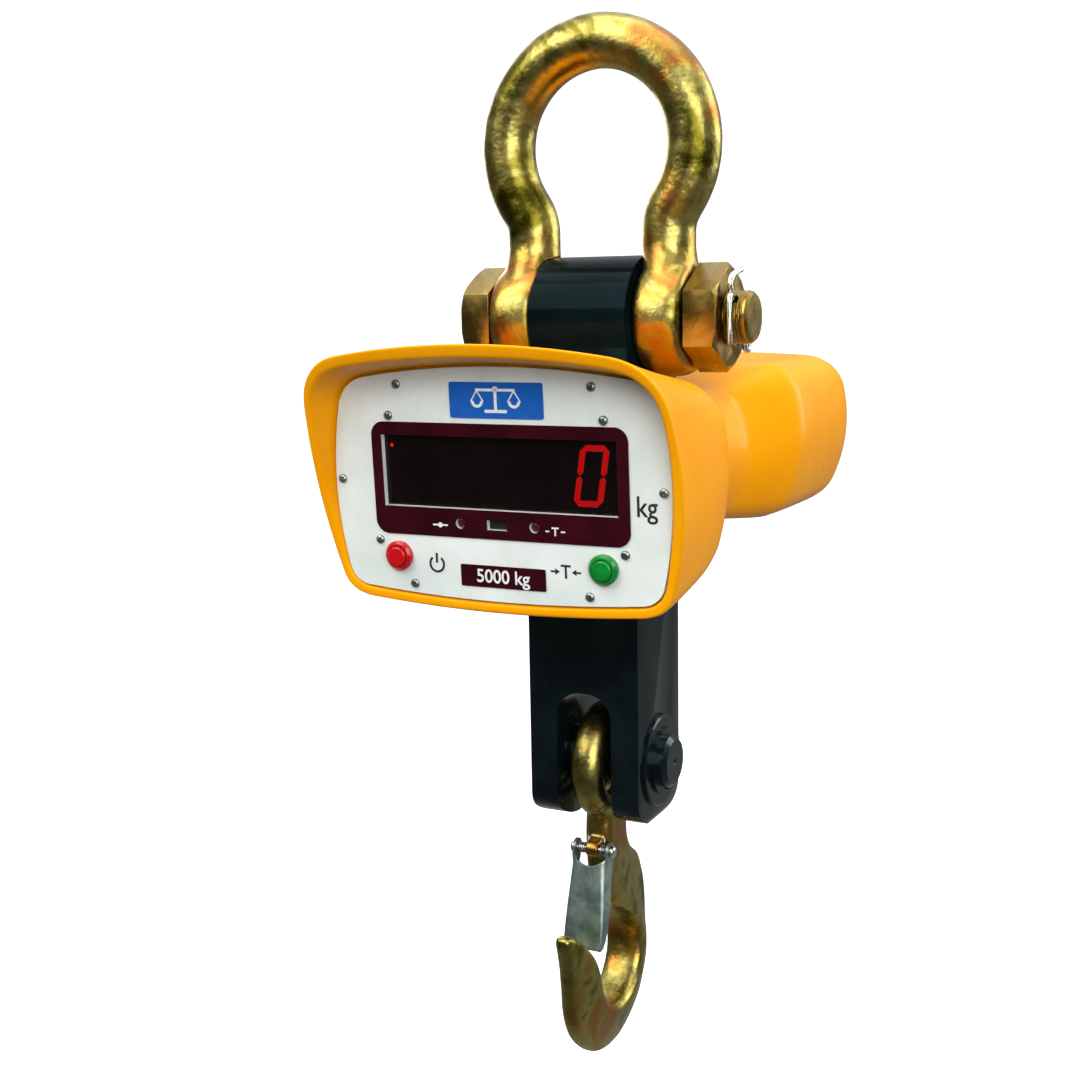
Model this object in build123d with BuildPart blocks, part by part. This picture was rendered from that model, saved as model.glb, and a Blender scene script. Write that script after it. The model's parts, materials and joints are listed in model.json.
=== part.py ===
from build123d import *
from math import cos, degrees, radians, sin
import os

# Crane scale with a bow shackle, a dumbbell-shaped cast housing, a strain-gauge load cell and a latched
# eye hook.  X runs along the shackle bolt, -Y is the display side and +Z is up.  The origin is the inside
# top of the shackle bow, where the crane hook carries the scale.  Millimetres.

os.makedirs("parts", exist_ok=True)

# ---------------------------------------------------------------- driving dimensions
BAR = 29.0  # shackle bar diameter
BOW_R = 54.6  # bow centreline radius
LEG_X = 40.0  # centreline of each straight leg
BEND_FROM = radians(35)  # where the bow stops being a circle, below its centre
BOLT_Z = -132.0  # shackle bolt axis
EAR_R = 31.0
EAR_IN, EAR_OUT = 29.0, 56.0
BOLT_D, THREAD_D = 32.0, 28.0
HEX_AF = 50.0
BOLT_END = 88.0
COTTER_X, COTTER_LEAN = 79.0, radians(45)

CELL_X, CELL_Y = 28.0, 30.0  # load cell half sizes
CELL_EYE_R = 33.5
CELL_FOOT = -226.0
STUD_D, STUD_Z = 36.0, -262.0

CLEVIS_X, CLEVIS_Y = 32.9, 30.4  # hook clevis half sizes
CLEVIS_Z = -415.7
SLOT_X, SLOT_Z = 16.5, -338.0
PIN_D, PIN_Z = 30.0, -379.5
PIN_END = 42.6

PANEL_Y, PANEL_Z, PANEL_TILT = -127.4, -208.6, radians(3.16)
PANEL_T = 3.0
GASKET_T = 1.0
LEDGE_W = 7.5
WALL = 3.2
SCREWS_OUTER = [(52.6, 48.3), (87.5, 0.0), (48.3, -52.0)]  # panel to housing
SCREWS_INNER = [(58.2, 32.8), (67.3, -30.4)]  # display board posts
WINDOW = (0.6, 5.3, 127.6, 35.9)  # centre x, centre y, width, height
FRAME = (0.9, 1.5, 139.0, 56.6)
BUTTON_X, BUTTON_Y = 56.2, -38.0
BUTTON_TRAVEL = 1.5
LED_X, LED_Y = 20.3, -19.8
DIGITS, DIGIT_PITCH, DIGIT_Y = 5, 25.1, 5.5

EYE_R, EYE_RADIAL, EYE_X = 26.2, 7.8, 9.5  # hook eye: centreline radius and half section
EYE_Z = PIN_Z - (EYE_R - EYE_RADIAL) + PIN_D / 2 + 0.2
BOWL_Y, BOWL_Z = -4.0, -504.0
SEAT_Y, SEAT_Z = -3.5, -502.0  # centre of the round the load sits in
BOWL_IN, BOWL_OUT = 26.5, 52.5
HOOK_X, NECK_X = 14.0, 9.7  # half thickness of the bowl and of the neck
LATCH_Y, LATCH_Z = -19.0, -431.0
LATCH_LEAN = radians(12)
LATCH_LEN = 56.0

BATTERY = (101.0, 70.0, 47.0)
BATTERY_Y, BATTERY_FLOOR = 108.0, -233.0
DOOR_Y, DOOR_Z = 163.0, -203.0

bow_z = BAR / 2 - BOW_R
panel = Plane(
    origin=(0, PANEL_Y, PANEL_Z),
    x_dir=(1, 0, 0),
    z_dir=(0, -cos(PANEL_TILT), -sin(PANEL_TILT)),
)


def save(piece, name):
    """Label a finished piece and write it as one STEP file."""
    piece.part.label = name
    export_step(piece.part, f"parts/{name}.step")


def mirrored(points):
    """The same places on both sides of the YZ plane."""
    return [(side * x, y) for x, y in points for side in (-1, 1)]


def along_x(x):
    """A YZ sketching plane at x, its local axes being Y and Z."""
    return Plane.YZ.offset(x)


# ---------------------------------------------------------------- shackle
leg_bend = (BOW_R * cos(BEND_FROM) - LEG_X) / (1 - cos(BEND_FROM))
leg_top = bow_z - (BOW_R + leg_bend) * sin(BEND_FROM)
bow_foot = (BOW_R * cos(BEND_FROM), bow_z - BOW_R * sin(BEND_FROM))
turn = BEND_FROM / 2
leg_mid = (LEG_X + leg_bend * (1 - cos(turn)), leg_top + leg_bend * sin(turn))
LEG_END = -96.0

with BuildPart() as shackle_bow:
    with BuildLine(Plane.XZ):
        Line((-LEG_X, LEG_END), (-LEG_X, leg_top))
        ThreePointArc((-LEG_X, leg_top), (-leg_mid[0], leg_mid[1]), (-bow_foot[0], bow_foot[1]))
        ThreePointArc((-bow_foot[0], bow_foot[1]), (0, bow_z + BOW_R), bow_foot)
        ThreePointArc(bow_foot, leg_mid, (LEG_X, leg_top))
        Line((LEG_X, leg_top), (LEG_X, LEG_END))
    with BuildSketch(Plane.XY.offset(LEG_END)):
        with Locations((-LEG_X, 0)):
            Circle(BAR / 2)
    sweep()
    for side in (-1, 1):
        ear_x = (EAR_IN + EAR_OUT) / 2
        for z, centre, half_x, half_y in (
            (LEG_END, LEG_X, BAR / 2, BAR / 2),
            (-108, 41.2, 14.2, 19.5),
            (-121, ear_x, 13.4, 26.5),
        ):
            with BuildSketch(Plane.XY.offset(z)):
                with Locations((side * centre, 0)):
                    Ellipse(half_x, half_y)
        loft()
        with BuildSketch(Plane.XZ):
            with BuildLine():
                Polyline(
                    (side * EAR_IN, BOLT_Z),
                    (side * EAR_IN, BOLT_Z + EAR_R - 2),
                    (side * (EAR_IN + 2), BOLT_Z + EAR_R),
                    (side * (EAR_OUT - 4), BOLT_Z + EAR_R),
                    (side * EAR_OUT, BOLT_Z + EAR_R - 4),
                    (side * EAR_OUT, BOLT_Z),
                    close=True,
                )
            make_face()
        revolve(axis=Axis((0, 0, BOLT_Z), (1, 0, 0)))
    with Locations(Plane.YZ):
        with Locations((0, BOLT_Z, 0)):
            Cylinder(BOLT_D / 2 + 0.15, 2 * EAR_OUT + 10, mode=Mode.SUBTRACT)
            Cylinder(CELL_EYE_R + 0.9, 2 * EAR_IN, mode=Mode.SUBTRACT)
save(shackle_bow, "shackle_bow")


def hex_blank(x_from, x_to, bevel_end):
    """A hexagon along X with flats front and back, its outer corners turned off at one end."""
    with BuildSketch(along_x(x_from)) as hexagon:
        with Locations((0, BOLT_Z)):
            RegularPolygon(HEX_AF / 2, 6, major_radius=False, rotation=30)
    extrude(hexagon.sketch, amount=x_to - x_from)
    inner = x_from if bevel_end == x_to else x_to
    step = 3.5 if bevel_end > inner else -3.5
    corner = HEX_AF / 2 / cos(radians(30)) + 0.2
    with BuildSketch(Plane.XZ) as turned:
        with BuildLine():
            Polyline(
                (inner, BOLT_Z),
                (inner, BOLT_Z + corner),
                (bevel_end - step * 0.55, BOLT_Z + corner),
                (bevel_end, BOLT_Z + corner - 3.6),
                (bevel_end, BOLT_Z),
                close=True,
            )
        make_face()
    revolve(turned.sketch, axis=Axis((0, 0, BOLT_Z), (1, 0, 0)), mode=Mode.INTERSECT)


HEAD_T, NUT_T = 17.0, 17.5
with BuildPart() as shackle_bolt:
    hex_blank(-EAR_OUT - 1 - HEAD_T, -EAR_OUT - 1, -EAR_OUT - 1 - HEAD_T)
    with BuildSketch(along_x(-EAR_OUT - 1)):
        with Locations((0, BOLT_Z)):
            Circle(BOLT_D / 2)
    extrude(amount=2 * EAR_OUT + 1.8)
    with BuildSketch(along_x(EAR_OUT)):
        with Locations((0, BOLT_Z)):
            Circle(THREAD_D / 2)
    extrude(amount=BOLT_END - EAR_OUT)
    chamfer(shackle_bolt.faces().sort_by(Axis.X)[-1].edges(), 1.6)
    with Locations(Location((COTTER_X, 0, BOLT_Z), (90 - degrees(COTTER_LEAN), 0, 0))):
        Cylinder(3.2, THREAD_D + 4, mode=Mode.SUBTRACT)
save(shackle_bolt, "shackle_bolt")

NUT_X = EAR_OUT + 1.2
with BuildPart() as shackle_nut:
    hex_blank(NUT_X, NUT_X + NUT_T, NUT_X + NUT_T)
    with Locations(Plane.YZ.offset(NUT_X)):
        with Locations((0, BOLT_Z, NUT_T / 2)):
            Cylinder(THREAD_D / 2, NUT_T + 2, mode=Mode.SUBTRACT)
save(shackle_nut, "shackle_nut")

COTTER_R = 2.8
cotter_run = Plane(
    origin=(COTTER_X, 0, BOLT_Z),
    x_dir=(1, 0, 0),
    z_dir=(0, cos(COTTER_LEAN), -sin(COTTER_LEAN)),
)
eye_out = THREAD_D / 2 + 8.5
with BuildPart() as cotter_pin:
    with BuildSketch(cotter_run.offset(-THREAD_D / 2 - 1.6)):
        Circle(COTTER_R)
    extrude(amount=THREAD_D + 5.6)
    with BuildSketch(along_x(COTTER_X)):
        with Locations((eye_out * cos(COTTER_LEAN), BOLT_Z - eye_out * sin(COTTER_LEAN))):
            Circle(6.2)
            Circle(3.2, mode=Mode.SUBTRACT)
    extrude(amount=1.6, both=True)
    with BuildSketch(along_x(COTTER_X)):
        with BuildLine():
            Polyline(
                (-9.8, -121.4),
                (-11.6, -114.6),
                (-7.4, -110.0),
                (-8.8, -107.8),
                (-14.0, -113.2),
                (-13.2, -117.6),
                (-18.0, -122.0),
                (-18.0, -151.0),
                (-15.2, -151.0),
                (-14.8, -126.0),
                close=True,
            )
        make_face()
    extrude(amount=1.3, both=True)
save(cotter_pin, "cotter_pin")

# ---------------------------------------------------------------- load cell, clevis and clevis pin
GAUGE_Z, GAUGE_R, GAUGE_DEPTH = -184.0, 13.0, 14.0
BRACKET_Z = (-222.0, -192.0)
CELL_SCREWS = [(y, z) for y in (-8, 8) for z in (-202, -214)]
DOWEL_Z = -246.0

with BuildPart() as load_cell:
    with BuildSketch(Plane.YZ):
        with Locations((0, BOLT_Z)):
            Circle(CELL_EYE_R)
        with Locations((0, (BOLT_Z + CELL_FOOT) / 2)):
            Rectangle(2 * CELL_Y, BOLT_Z - CELL_FOOT)
    extrude(amount=CELL_X, both=True)
    with BuildSketch(Plane.XY.offset(CELL_FOOT)):
        Circle(STUD_D / 2)
    extrude(amount=STUD_Z - CELL_FOOT)
    with Locations(Plane.YZ):
        with Locations((0, BOLT_Z, 0)):
            Cylinder(BOLT_D / 2 + 0.08, 2 * CELL_X + 2, mode=Mode.SUBTRACT)
    for side in (-1, 1):
        with BuildSketch(Plane.XZ.offset(side * CELL_Y)):
            with Locations((0, GAUGE_Z)):
                Circle(GAUGE_R)
        extrude(amount=-side * GAUGE_DEPTH, mode=Mode.SUBTRACT)
        with BuildSketch(along_x(side * CELL_X)):
            with Locations(*CELL_SCREWS):
                Circle(2.5)
        extrude(amount=-side * 10, mode=Mode.SUBTRACT)
    with BuildSketch(Plane.XZ):
        with Locations((0, DOWEL_Z)):
            Circle(4)
    extrude(amount=STUD_D, both=True, mode=Mode.SUBTRACT)
save(load_cell, "load_cell")

with BuildPart() as gauge_covers:
    for side in (-1, 1):
        with BuildSketch(Plane.XZ.offset(side * (CELL_Y - 2))):
            with Locations((0, GAUGE_Z)):
                Circle(GAUGE_R)
        extrude(amount=side * 2)
save(gauge_covers, "gauge_covers")

CLEVIS_CHORD = -403.8  # height of the clevis's front and back lower edges
WASHER_T, CLIP_T = 2.6, 1.8
PIN_HEAD_R, PIN_HEAD_T = 19.0, 4.0
with BuildPart() as hook_clevis:
    with BuildSketch(Plane.YZ):
        with BuildLine():
            Polyline(
                (-CLEVIS_Y, CLEVIS_CHORD),
                (-CLEVIS_Y, CELL_FOOT),
                (CLEVIS_Y, CELL_FOOT),
                (CLEVIS_Y, CLEVIS_CHORD),
            )
            ThreePointArc((CLEVIS_Y, CLEVIS_CHORD), (0, CLEVIS_Z), (-CLEVIS_Y, CLEVIS_CHORD))
        make_face()
    extrude(amount=CLEVIS_X, both=True)
    fillet(hook_clevis.edges().filter_by(Axis.X).group_by(Axis.Z)[0], 6)
    fillet(hook_clevis.faces().sort_by(Axis.X)[0].edges().sort_by(Axis.Z)[0:3], 4)
    fillet(hook_clevis.faces().sort_by(Axis.X)[-1].edges().sort_by(Axis.Z)[0:3], 4)
    with BuildSketch(Plane.XZ) as slot:
        with BuildLine():
            Polyline((-SLOT_X, SLOT_Z), (-SLOT_X, CLEVIS_Z - 5), (SLOT_X, CLEVIS_Z - 5), (SLOT_X, SLOT_Z), close=True)
        make_face()
        fillet(slot.vertices().group_by(Axis.Y)[-1], 7)
    extrude(amount=CLEVIS_Y + 5, both=True, mode=Mode.SUBTRACT)
    with Locations((0, 0, (CELL_FOOT + STUD_Z) / 2)):
        Cylinder(STUD_D / 2, CELL_FOOT - STUD_Z, mode=Mode.SUBTRACT)
    with Locations(Plane.YZ):
        with Locations((0, PIN_Z, 0)):
            Cylinder(PIN_D / 2, 2 * CLEVIS_X + 5, mode=Mode.SUBTRACT)
        with Locations((0, PIN_Z, PIN_HEAD_T / 2 - CLEVIS_X)):
            Cylinder(PIN_HEAD_R, PIN_HEAD_T, mode=Mode.SUBTRACT)
    with BuildSketch(Plane.XZ):
        with Locations((0, DOWEL_Z)):
            Circle(4)
    extrude(amount=CLEVIS_Y + 5, both=True, mode=Mode.SUBTRACT)
save(hook_clevis, "hook_clevis")

with BuildPart() as stud_dowel:
    with BuildSketch(Plane.XZ):
        with Locations((0, DOWEL_Z)):
            Circle(4)
    extrude(amount=CLEVIS_Y - 1, both=True)
save(stud_dowel, "stud_dowel")

clip_x = CLEVIS_X + WASHER_T
with BuildPart() as clevis_pin:
    with BuildSketch(along_x(-CLEVIS_X)):
        with Locations((0, PIN_Z)):
            Circle(PIN_HEAD_R)
    extrude(amount=PIN_HEAD_T)
    chamfer(clevis_pin.faces().sort_by(Axis.X)[0].edges(), 0.8)
    with BuildSketch(along_x(-CLEVIS_X)):
        with Locations((0, PIN_Z)):
            Circle(PIN_D / 2)
    extrude(amount=CLEVIS_X + PIN_END)
    chamfer(clevis_pin.faces().sort_by(Axis.X)[-1].edges(), 2.4)
    with BuildSketch(along_x(clip_x)):
        with Locations((0, PIN_Z)):
            Circle(PIN_D / 2)
            Circle(PIN_D / 2 - 1.2, mode=Mode.SUBTRACT)
    extrude(amount=CLIP_T, mode=Mode.SUBTRACT)
    with Locations(Plane.YZ.offset(PIN_END)):
        with Locations((0, PIN_Z)):
            CounterSinkHole(0.9, 1.9, 3)
save(clevis_pin, "clevis_pin")

with BuildPart() as pin_washer:
    with BuildSketch(along_x(CLEVIS_X)):
        with Locations((0, PIN_Z)):
            Circle(26)
            Circle(PIN_D / 2, mode=Mode.SUBTRACT)
    extrude(amount=WASHER_T)
    chamfer(pin_washer.faces().sort_by(Axis.X)[-1].outer_wire().edges(), 0.8)
save(pin_washer, "pin_washer")

with BuildPart() as pin_circlip:
    with BuildSketch(along_x(clip_x)):
        with Locations((0, PIN_Z)):
            Circle(19)
            Circle(PIN_D / 2 - 1.2, mode=Mode.SUBTRACT)
        with Locations((0, PIN_Z - 17)):
            Rectangle(9, 12, mode=Mode.SUBTRACT)
    extrude(amount=CLIP_T)
save(pin_circlip, "pin_circlip")

# ---------------------------------------------------------------- housing
# y, half width at the top corner, middle and low corner, top and low height, crown, belly, corner radii
OUTER = [
    (-172, 94.0, 101.8, 90.0, -136.5, -274.5, 8.7, 5.0, 26, 15),
    (-125, 91.5, 99.0, 88.0, -146.0, -273.0, 8.7, 5.0, 25, 15),
    (-88, 90.5, 97.8, 87.5, -152.5, -269.5, 8.0, 6.0, 26, 20),
    (-64, 89.5, 96.2, 86.0, -157.0, -264.5, 7.0, 6.0, 26, 25),
    (-58, 85.0, 92.5, 81.5, -159.5, -260.0, 6.0, 6.0, 24, 23),
    (-50, 75.0, 84.5, 72.0, -163.0, -254.0, 5.0, 5.0, 20, 20),
    (-40, 66.0, 77.5, 64.0, -166.0, -249.0, 4.0, 4.0, 18, 16),
    (-30, 64.0, 75.5, 62.0, -167.0, -247.0, 4.0, 4.0, 18, 16),
    (20, 65.0, 76.5, 63.0, -167.0, -247.0, 4.0, 4.0, 18, 16),
    (30, 70.0, 81.0, 68.0, -164.5, -247.5, 4.0, 4.0, 18, 18),
    (46, 81.0, 91.0, 78.0, -159.0, -249.0, 3.5, 4.0, 20, 19),
    (60, 88.5, 97.5, 84.0, -156.3, -250.0, 3.0, 4.0, 22, 20),
    (130, 91.0, 99.0, 85.0, -155.5, -250.5, 3.0, 4.0, 22, 20),
    (150, 90.0, 97.5, 84.0, -157.0, -249.0, 3.0, 4.0, 22, 20),
    (163, 84.0, 91.0, 79.0, -163.0, -243.0, 3.0, 4.0, 18, 16),
]
CAVITY_FRONT, CAVITY_BACK = -117.0, 159.6


def section(y, top_x, mid_x, low_x, top_z, low_z, crown, belly, top_r, low_r, inset=0.0):
    """One barrel-shaped cross-section of the housing, on the XZ plane at y."""
    top_x, mid_x, low_x = top_x - inset, mid_x - inset, low_x - inset
    top_z, low_z = top_z - inset, low_z + inset
    mid_z = (top_z + low_z) / 2
    with BuildSketch(Plane.XZ.offset(-y)) as outline:
        with BuildLine():
            ThreePointArc((-top_x, top_z - crown), (0, top_z), (top_x, top_z - crown))
            ThreePointArc((top_x, top_z - crown), (mid_x, mid_z), (low_x, low_z + belly))
            ThreePointArc((low_x, low_z + belly), (0, low_z), (-low_x, low_z + belly))
            ThreePointArc((-low_x, low_z + belly), (-mid_x, mid_z), (-top_x, top_z - crown))
        make_face()
        fillet(outline.vertices().group_by(Axis.Y)[-1], top_r - inset)
        fillet(outline.vertices().group_by(Axis.Y)[0], low_r - inset)
    return outline.sketch


def between(low, high, y):
    """The cross-section at y on the straight line between two neighbours."""
    t = (y - low[0]) / (high[0] - low[0])
    return tuple(a + t * (b - a) for a, b in zip(low, high))


def panel_outline(grow=0.0, mode=Mode.ADD):
    """Add the front plate's outline, grown outward all round, to the sketch being drawn."""
    side, middle = 84 + grow, 91.3 + grow
    top, crown = 49.5 + grow, 57.2 + grow
    low, belly = -53.6 - grow, -58.2 - grow
    with BuildSketch(mode=Mode.PRIVATE) as shape:
        with BuildLine():
            ThreePointArc((-side, top), (0, crown), (side, top))
            ThreePointArc((side, top), (middle, 6), (side, low))
            ThreePointArc((side, low), (0, belly), (-side, low))
            ThreePointArc((-side, low), (-middle, 6), (-side, top))
        make_face()
        fillet(shape.vertices().group_by(Axis.Y)[-1], 18 + grow)
        fillet(shape.vertices().group_by(Axis.Y)[0], 12 + grow)
    add(shape.sketch, mode=mode)


def visor(up):
    """How far the hood stands in front of the plate at a height above the plate's centre."""
    return 26 * max(0.0, (up + 64.4) / 134.1) ** 1.8


def panel_point(up, out):
    """Y and Z of a point at a height along the plate and a distance in front of it."""
    y = PANEL_Y - up * sin(PANEL_TILT) - out * cos(PANEL_TILT)
    z = PANEL_Z + up * cos(PANEL_TILT) - out * sin(PANEL_TILT)
    return y, z


ledge_back = -PANEL_T - GASKET_T
rim = [panel_point(up, visor(up)) for up in (-64.4, -30, 0, 30, 55, 78)]
BOSSES = [(side * 40, y) for side in (-1, 1) for y in (85, 131)]
SOCKET_X, SOCKET_Y, SOCKET_Z = -99.2, 100.0, -205.0
FLANGE_R, FLANGE_T = 9.0, 2.0
JACK_R, JACK_DEPTH = 2.9, 12.0

with BuildPart() as housing:
    loft([section(*row) for row in OUTER], ruled=True)
    inner_rows = [between(OUTER[1], OUTER[2], CAVITY_FRONT)] + OUTER[2:-1]
    inner_rows.append(between(OUTER[-2], OUTER[-1], CAVITY_BACK))
    loft([section(*row, inset=WALL) for row in inner_rows], ruled=True, mode=Mode.SUBTRACT)
    with BuildSketch(panel.offset(ledge_back)):
        panel_outline(0.6)
    with BuildSketch(panel.offset(ledge_back + 54)):
        panel_outline(12)
    loft(mode=Mode.SUBTRACT)
    with BuildSketch(panel.offset(ledge_back)):
        panel_outline(-LEDGE_W)
    extrude(amount=-16, mode=Mode.SUBTRACT)
    with BuildSketch(Plane.YZ):
        with BuildLine():
            Spline(*rim)
            Polyline(rim[-1], (-230, rim[-1][1]), (-230, -300), (rim[0][0], -300), rim[0])
        make_face()
    extrude(amount=130, both=True, mode=Mode.SUBTRACT)
    with BuildSketch(panel.offset(ledge_back)):
        with Locations(*mirrored(SCREWS_OUTER)):
            Circle(1.5)
    extrude(amount=-12, mode=Mode.SUBTRACT)
    with Locations((0, 0, -160)):
        Box(2 * CELL_X + 8, 2 * CELL_Y + 8, 40, mode=Mode.SUBTRACT)
    with Locations((0, 0, -260)):
        Box(2 * CLEVIS_X + 8, 2 * CLEVIS_Y + 8, 50, mode=Mode.SUBTRACT)
    with BuildSketch(Plane.XZ.offset(-CAVITY_BACK + 1)):
        with Locations((0, DOOR_Z)):
            RectangleRounded(106, 50, 5)
    extrude(amount=-12, mode=Mode.SUBTRACT)
    with BuildSketch(Plane.XY.offset(BATTERY_FLOOR - 3)):
        with Locations(*BOSSES):
            Circle(5)
    extrude(amount=-11.5)
    for side in (-1, 1):
        with Locations((side * 69.2, 0, -206)):
            Box(10.4, 26, 24)
    with Locations(Plane.YZ.offset(SOCKET_X)):
        with Locations((SOCKET_Y, SOCKET_Z, 0)):
            Cylinder(6, 20, mode=Mode.SUBTRACT)
            Cylinder(FLANGE_R + 0.2, 2 * FLANGE_T, mode=Mode.SUBTRACT)
save(housing, "housing")

# ---------------------------------------------------------------- seals and brackets that hold the housing
with BuildPart() as top_seal:
    with Locations((0, 0, -169.7)):
        Box(2 * CELL_X + 8, 2 * CELL_Y + 8, 9)
        Box(2 * CELL_X, 2 * CELL_Y, 12, mode=Mode.SUBTRACT)
save(top_seal, "top_seal")

with BuildPart() as bottom_seal:
    with Locations((0, 0, -247)):
        Box(2 * CLEVIS_X + 8, 2 * CLEVIS_Y + 8, 10)
        Box(2 * CLEVIS_X, 2 * CLEVIS_Y, 12, mode=Mode.SUBTRACT)
save(bottom_seal, "bottom_seal")

with BuildPart() as mount_brackets:
    for side in (-1, 1):
        near, far = side * CELL_X, side * 64
        low, high = BRACKET_Z
        with BuildSketch(Plane.XZ):
            with BuildLine():
                Polyline(
                    (near, low),
                    (near, high),
                    (far, high),
                    (far, low),
                    (far - side * 4, low),
                    (far - side * 4, high - 4),
                    (near + side * 4, high - 4),
                    (near + side * 4, low),
                    close=True,
                )
            make_face()
        extrude(amount=14, both=True)
    with BuildSketch(Plane.YZ):
        with Locations(*CELL_SCREWS):
            Circle(2.5)
    extrude(amount=CELL_X + 6, both=True, mode=Mode.SUBTRACT)
save(mount_brackets, "mount_brackets")

with BuildPart() as bracket_screws:
    for side in (-1, 1):
        with BuildSketch(along_x(side * (CELL_X - 9))):
            with Locations(*CELL_SCREWS):
                Circle(2.5)
        extrude(amount=side * 13)
        with BuildSketch(along_x(side * (CELL_X + 4))):
            with Locations(*CELL_SCREWS):
                Circle(4.2)
                RegularPolygon(2.2, 6, mode=Mode.SUBTRACT)
        extrude(amount=side * 4)
        with BuildSketch(along_x(side * (CELL_X + 4))):
            with Locations(*CELL_SCREWS):
                Circle(4.2)
        extrude(amount=side * 1.5)
save(bracket_screws, "bracket_screws")

# ---------------------------------------------------------------- front panel and display
HOLE_BEZEL = 6.4


def at_depth(depth):
    """The plate's plane moved out by depth, in when negative."""
    return panel.offset(depth)


with BuildPart() as panel_gasket:
    with BuildSketch(at_depth(-PANEL_T - GASKET_T)):
        panel_outline()
        panel_outline(-LEDGE_W, Mode.SUBTRACT)
        with Locations(*mirrored(SCREWS_OUTER)):
            Circle(1.7, mode=Mode.SUBTRACT)
    extrude(amount=GASKET_T)
save(panel_gasket, "panel_gasket")

with BuildPart() as front_panel:
    with BuildSketch(at_depth(-PANEL_T)):
        panel_outline()
        with Locations(*mirrored(SCREWS_OUTER + SCREWS_INNER)):
            Circle(1.7, mode=Mode.SUBTRACT)
        with Locations(WINDOW[:2]):
            Rectangle(WINDOW[2], WINDOW[3], mode=Mode.SUBTRACT)
        with Locations((-BUTTON_X, BUTTON_Y), (BUTTON_X, BUTTON_Y)):
            Circle(HOLE_BEZEL, mode=Mode.SUBTRACT)
        with Locations((-LED_X, LED_Y), (LED_X, LED_Y)):
            Circle(2.7, mode=Mode.SUBTRACT)
        with Locations((0, LED_Y)):
            Rectangle(11, 5, mode=Mode.SUBTRACT)
    extrude(amount=PANEL_T)
save(front_panel, "front_panel")

with BuildPart() as display_bezel:
    with BuildSketch(at_depth(0)):
        with Locations(FRAME[:2]):
            RectangleRounded(FRAME[2], FRAME[3], 7)
        with Locations(WINDOW[:2]):
            Rectangle(WINDOW[2], WINDOW[3], mode=Mode.SUBTRACT)
        with Locations((-LED_X, LED_Y), (LED_X, LED_Y)):
            Circle(2.7, mode=Mode.SUBTRACT)
        with Locations((0, LED_Y)):
            Rectangle(11, 5, mode=Mode.SUBTRACT)
    extrude(amount=0.6)
save(display_bezel, "display_bezel")

FILTER_T = 2.0
with BuildPart() as display_filter:
    with BuildSketch(at_depth(-PANEL_T - FILTER_T)):
        with Locations(WINDOW[:2]):
            Rectangle(131, 41.5)
    extrude(amount=FILTER_T)
save(display_filter, "display_filter")

digit_centres = [(-1.6 + (i - 2) * DIGIT_PITCH, DIGIT_Y) for i in range(DIGITS)]
MODULE_TOP, BOARD_TOP, BOARD_T = -5.2, -15.0, 1.6
with BuildPart() as digit_modules:
    with BuildSketch(at_depth(BOARD_TOP)):
        with Locations(*digit_centres):
            Rectangle(DIGIT_PITCH - 0.5, 36)
    extrude(amount=MODULE_TOP - BOARD_TOP)
save(digit_modules, "digit_modules")

with BuildPart() as display_board:
    with BuildSketch(at_depth(BOARD_TOP - BOARD_T)):
        with Locations((0, 1.2)):
            Rectangle(146, 72)
        with Locations((-BUTTON_X, BUTTON_Y), (BUTTON_X, BUTTON_Y)):
            Rectangle(15.4, 18, mode=Mode.SUBTRACT)
    extrude(amount=BOARD_T)
save(display_board, "display_board")

with BuildPart() as board_posts:
    with BuildSketch(at_depth(BOARD_TOP)):
        with Locations(*mirrored(SCREWS_INNER)):
            Circle(2.9)
            Circle(1.5, mode=Mode.SUBTRACT)
    extrude(amount=-PANEL_T - BOARD_TOP)
    with BuildSketch(at_depth(BOARD_TOP - BOARD_T)):
        with Locations((-40, 20), (40, 20), (-40, -20), (40, -20)):
            Circle(2.9)
    extrude(amount=-18)
save(board_posts, "board_posts")

AMP_TOP = BOARD_TOP - BOARD_T - 18
with BuildPart() as amplifier_board:
    with BuildSketch(at_depth(AMP_TOP - BOARD_T)):
        Rectangle(96, 56)
    extrude(amount=BOARD_T)
save(amplifier_board, "amplifier_board")

with BuildPart() as board_components:
    for x, y, wide, high, deep in (
        (-30, 12, 22, 14, 6),
        (4, 10, 16, 16, 3),
        (32, 14, 18, 10, 9),
        (-28, -14, 14, 10, 8),
        (2, -16, 24, 8, 5),
        (34, -12, 10, 20, 10),
    ):
        with BuildSketch(at_depth(AMP_TOP - BOARD_T)):
            with Locations((x, y)):
                Rectangle(wide, high)
        extrude(amount=-deep)
save(board_components, "board_components")

with BuildPart() as status_leds:
    with BuildSketch(at_depth(BOARD_TOP)):
        with Locations((-LED_X, LED_Y), (LED_X, LED_Y)):
            Circle(2.5)
    extrude(amount=-0.6 - BOARD_TOP)
    fillet(status_leds.faces().sort_by(Axis.Y)[0:2].edges(), 1.2)
save(status_leds, "status_leds")

with BuildPart() as ir_receiver:
    with BuildSketch(at_depth(BOARD_TOP)):
        with Locations((0, LED_Y)):
            Rectangle(10.4, 4.6)
    extrude(amount=-2.2 - BOARD_TOP)
save(ir_receiver, "ir_receiver")


def screw(depth, places, shank, head, length, cap):
    """Cross-head screws standing on the plane at depth, shank inward."""
    with BuildSketch(at_depth(depth)) as shanks:
        with Locations(*places):
            Circle(shank)
    extrude(shanks.sketch, amount=-length)
    with BuildSketch(at_depth(depth)) as heads:
        with Locations(*places):
            Circle(head)
    extrude(heads.sketch, amount=cap)
    with BuildSketch(at_depth(depth + cap)) as crosses:
        with Locations(*places):
            Rectangle(head * 1.2, 0.7)
            Rectangle(0.7, head * 1.2)
    extrude(crosses.sketch, amount=-cap * 0.55, mode=Mode.SUBTRACT)


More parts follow.
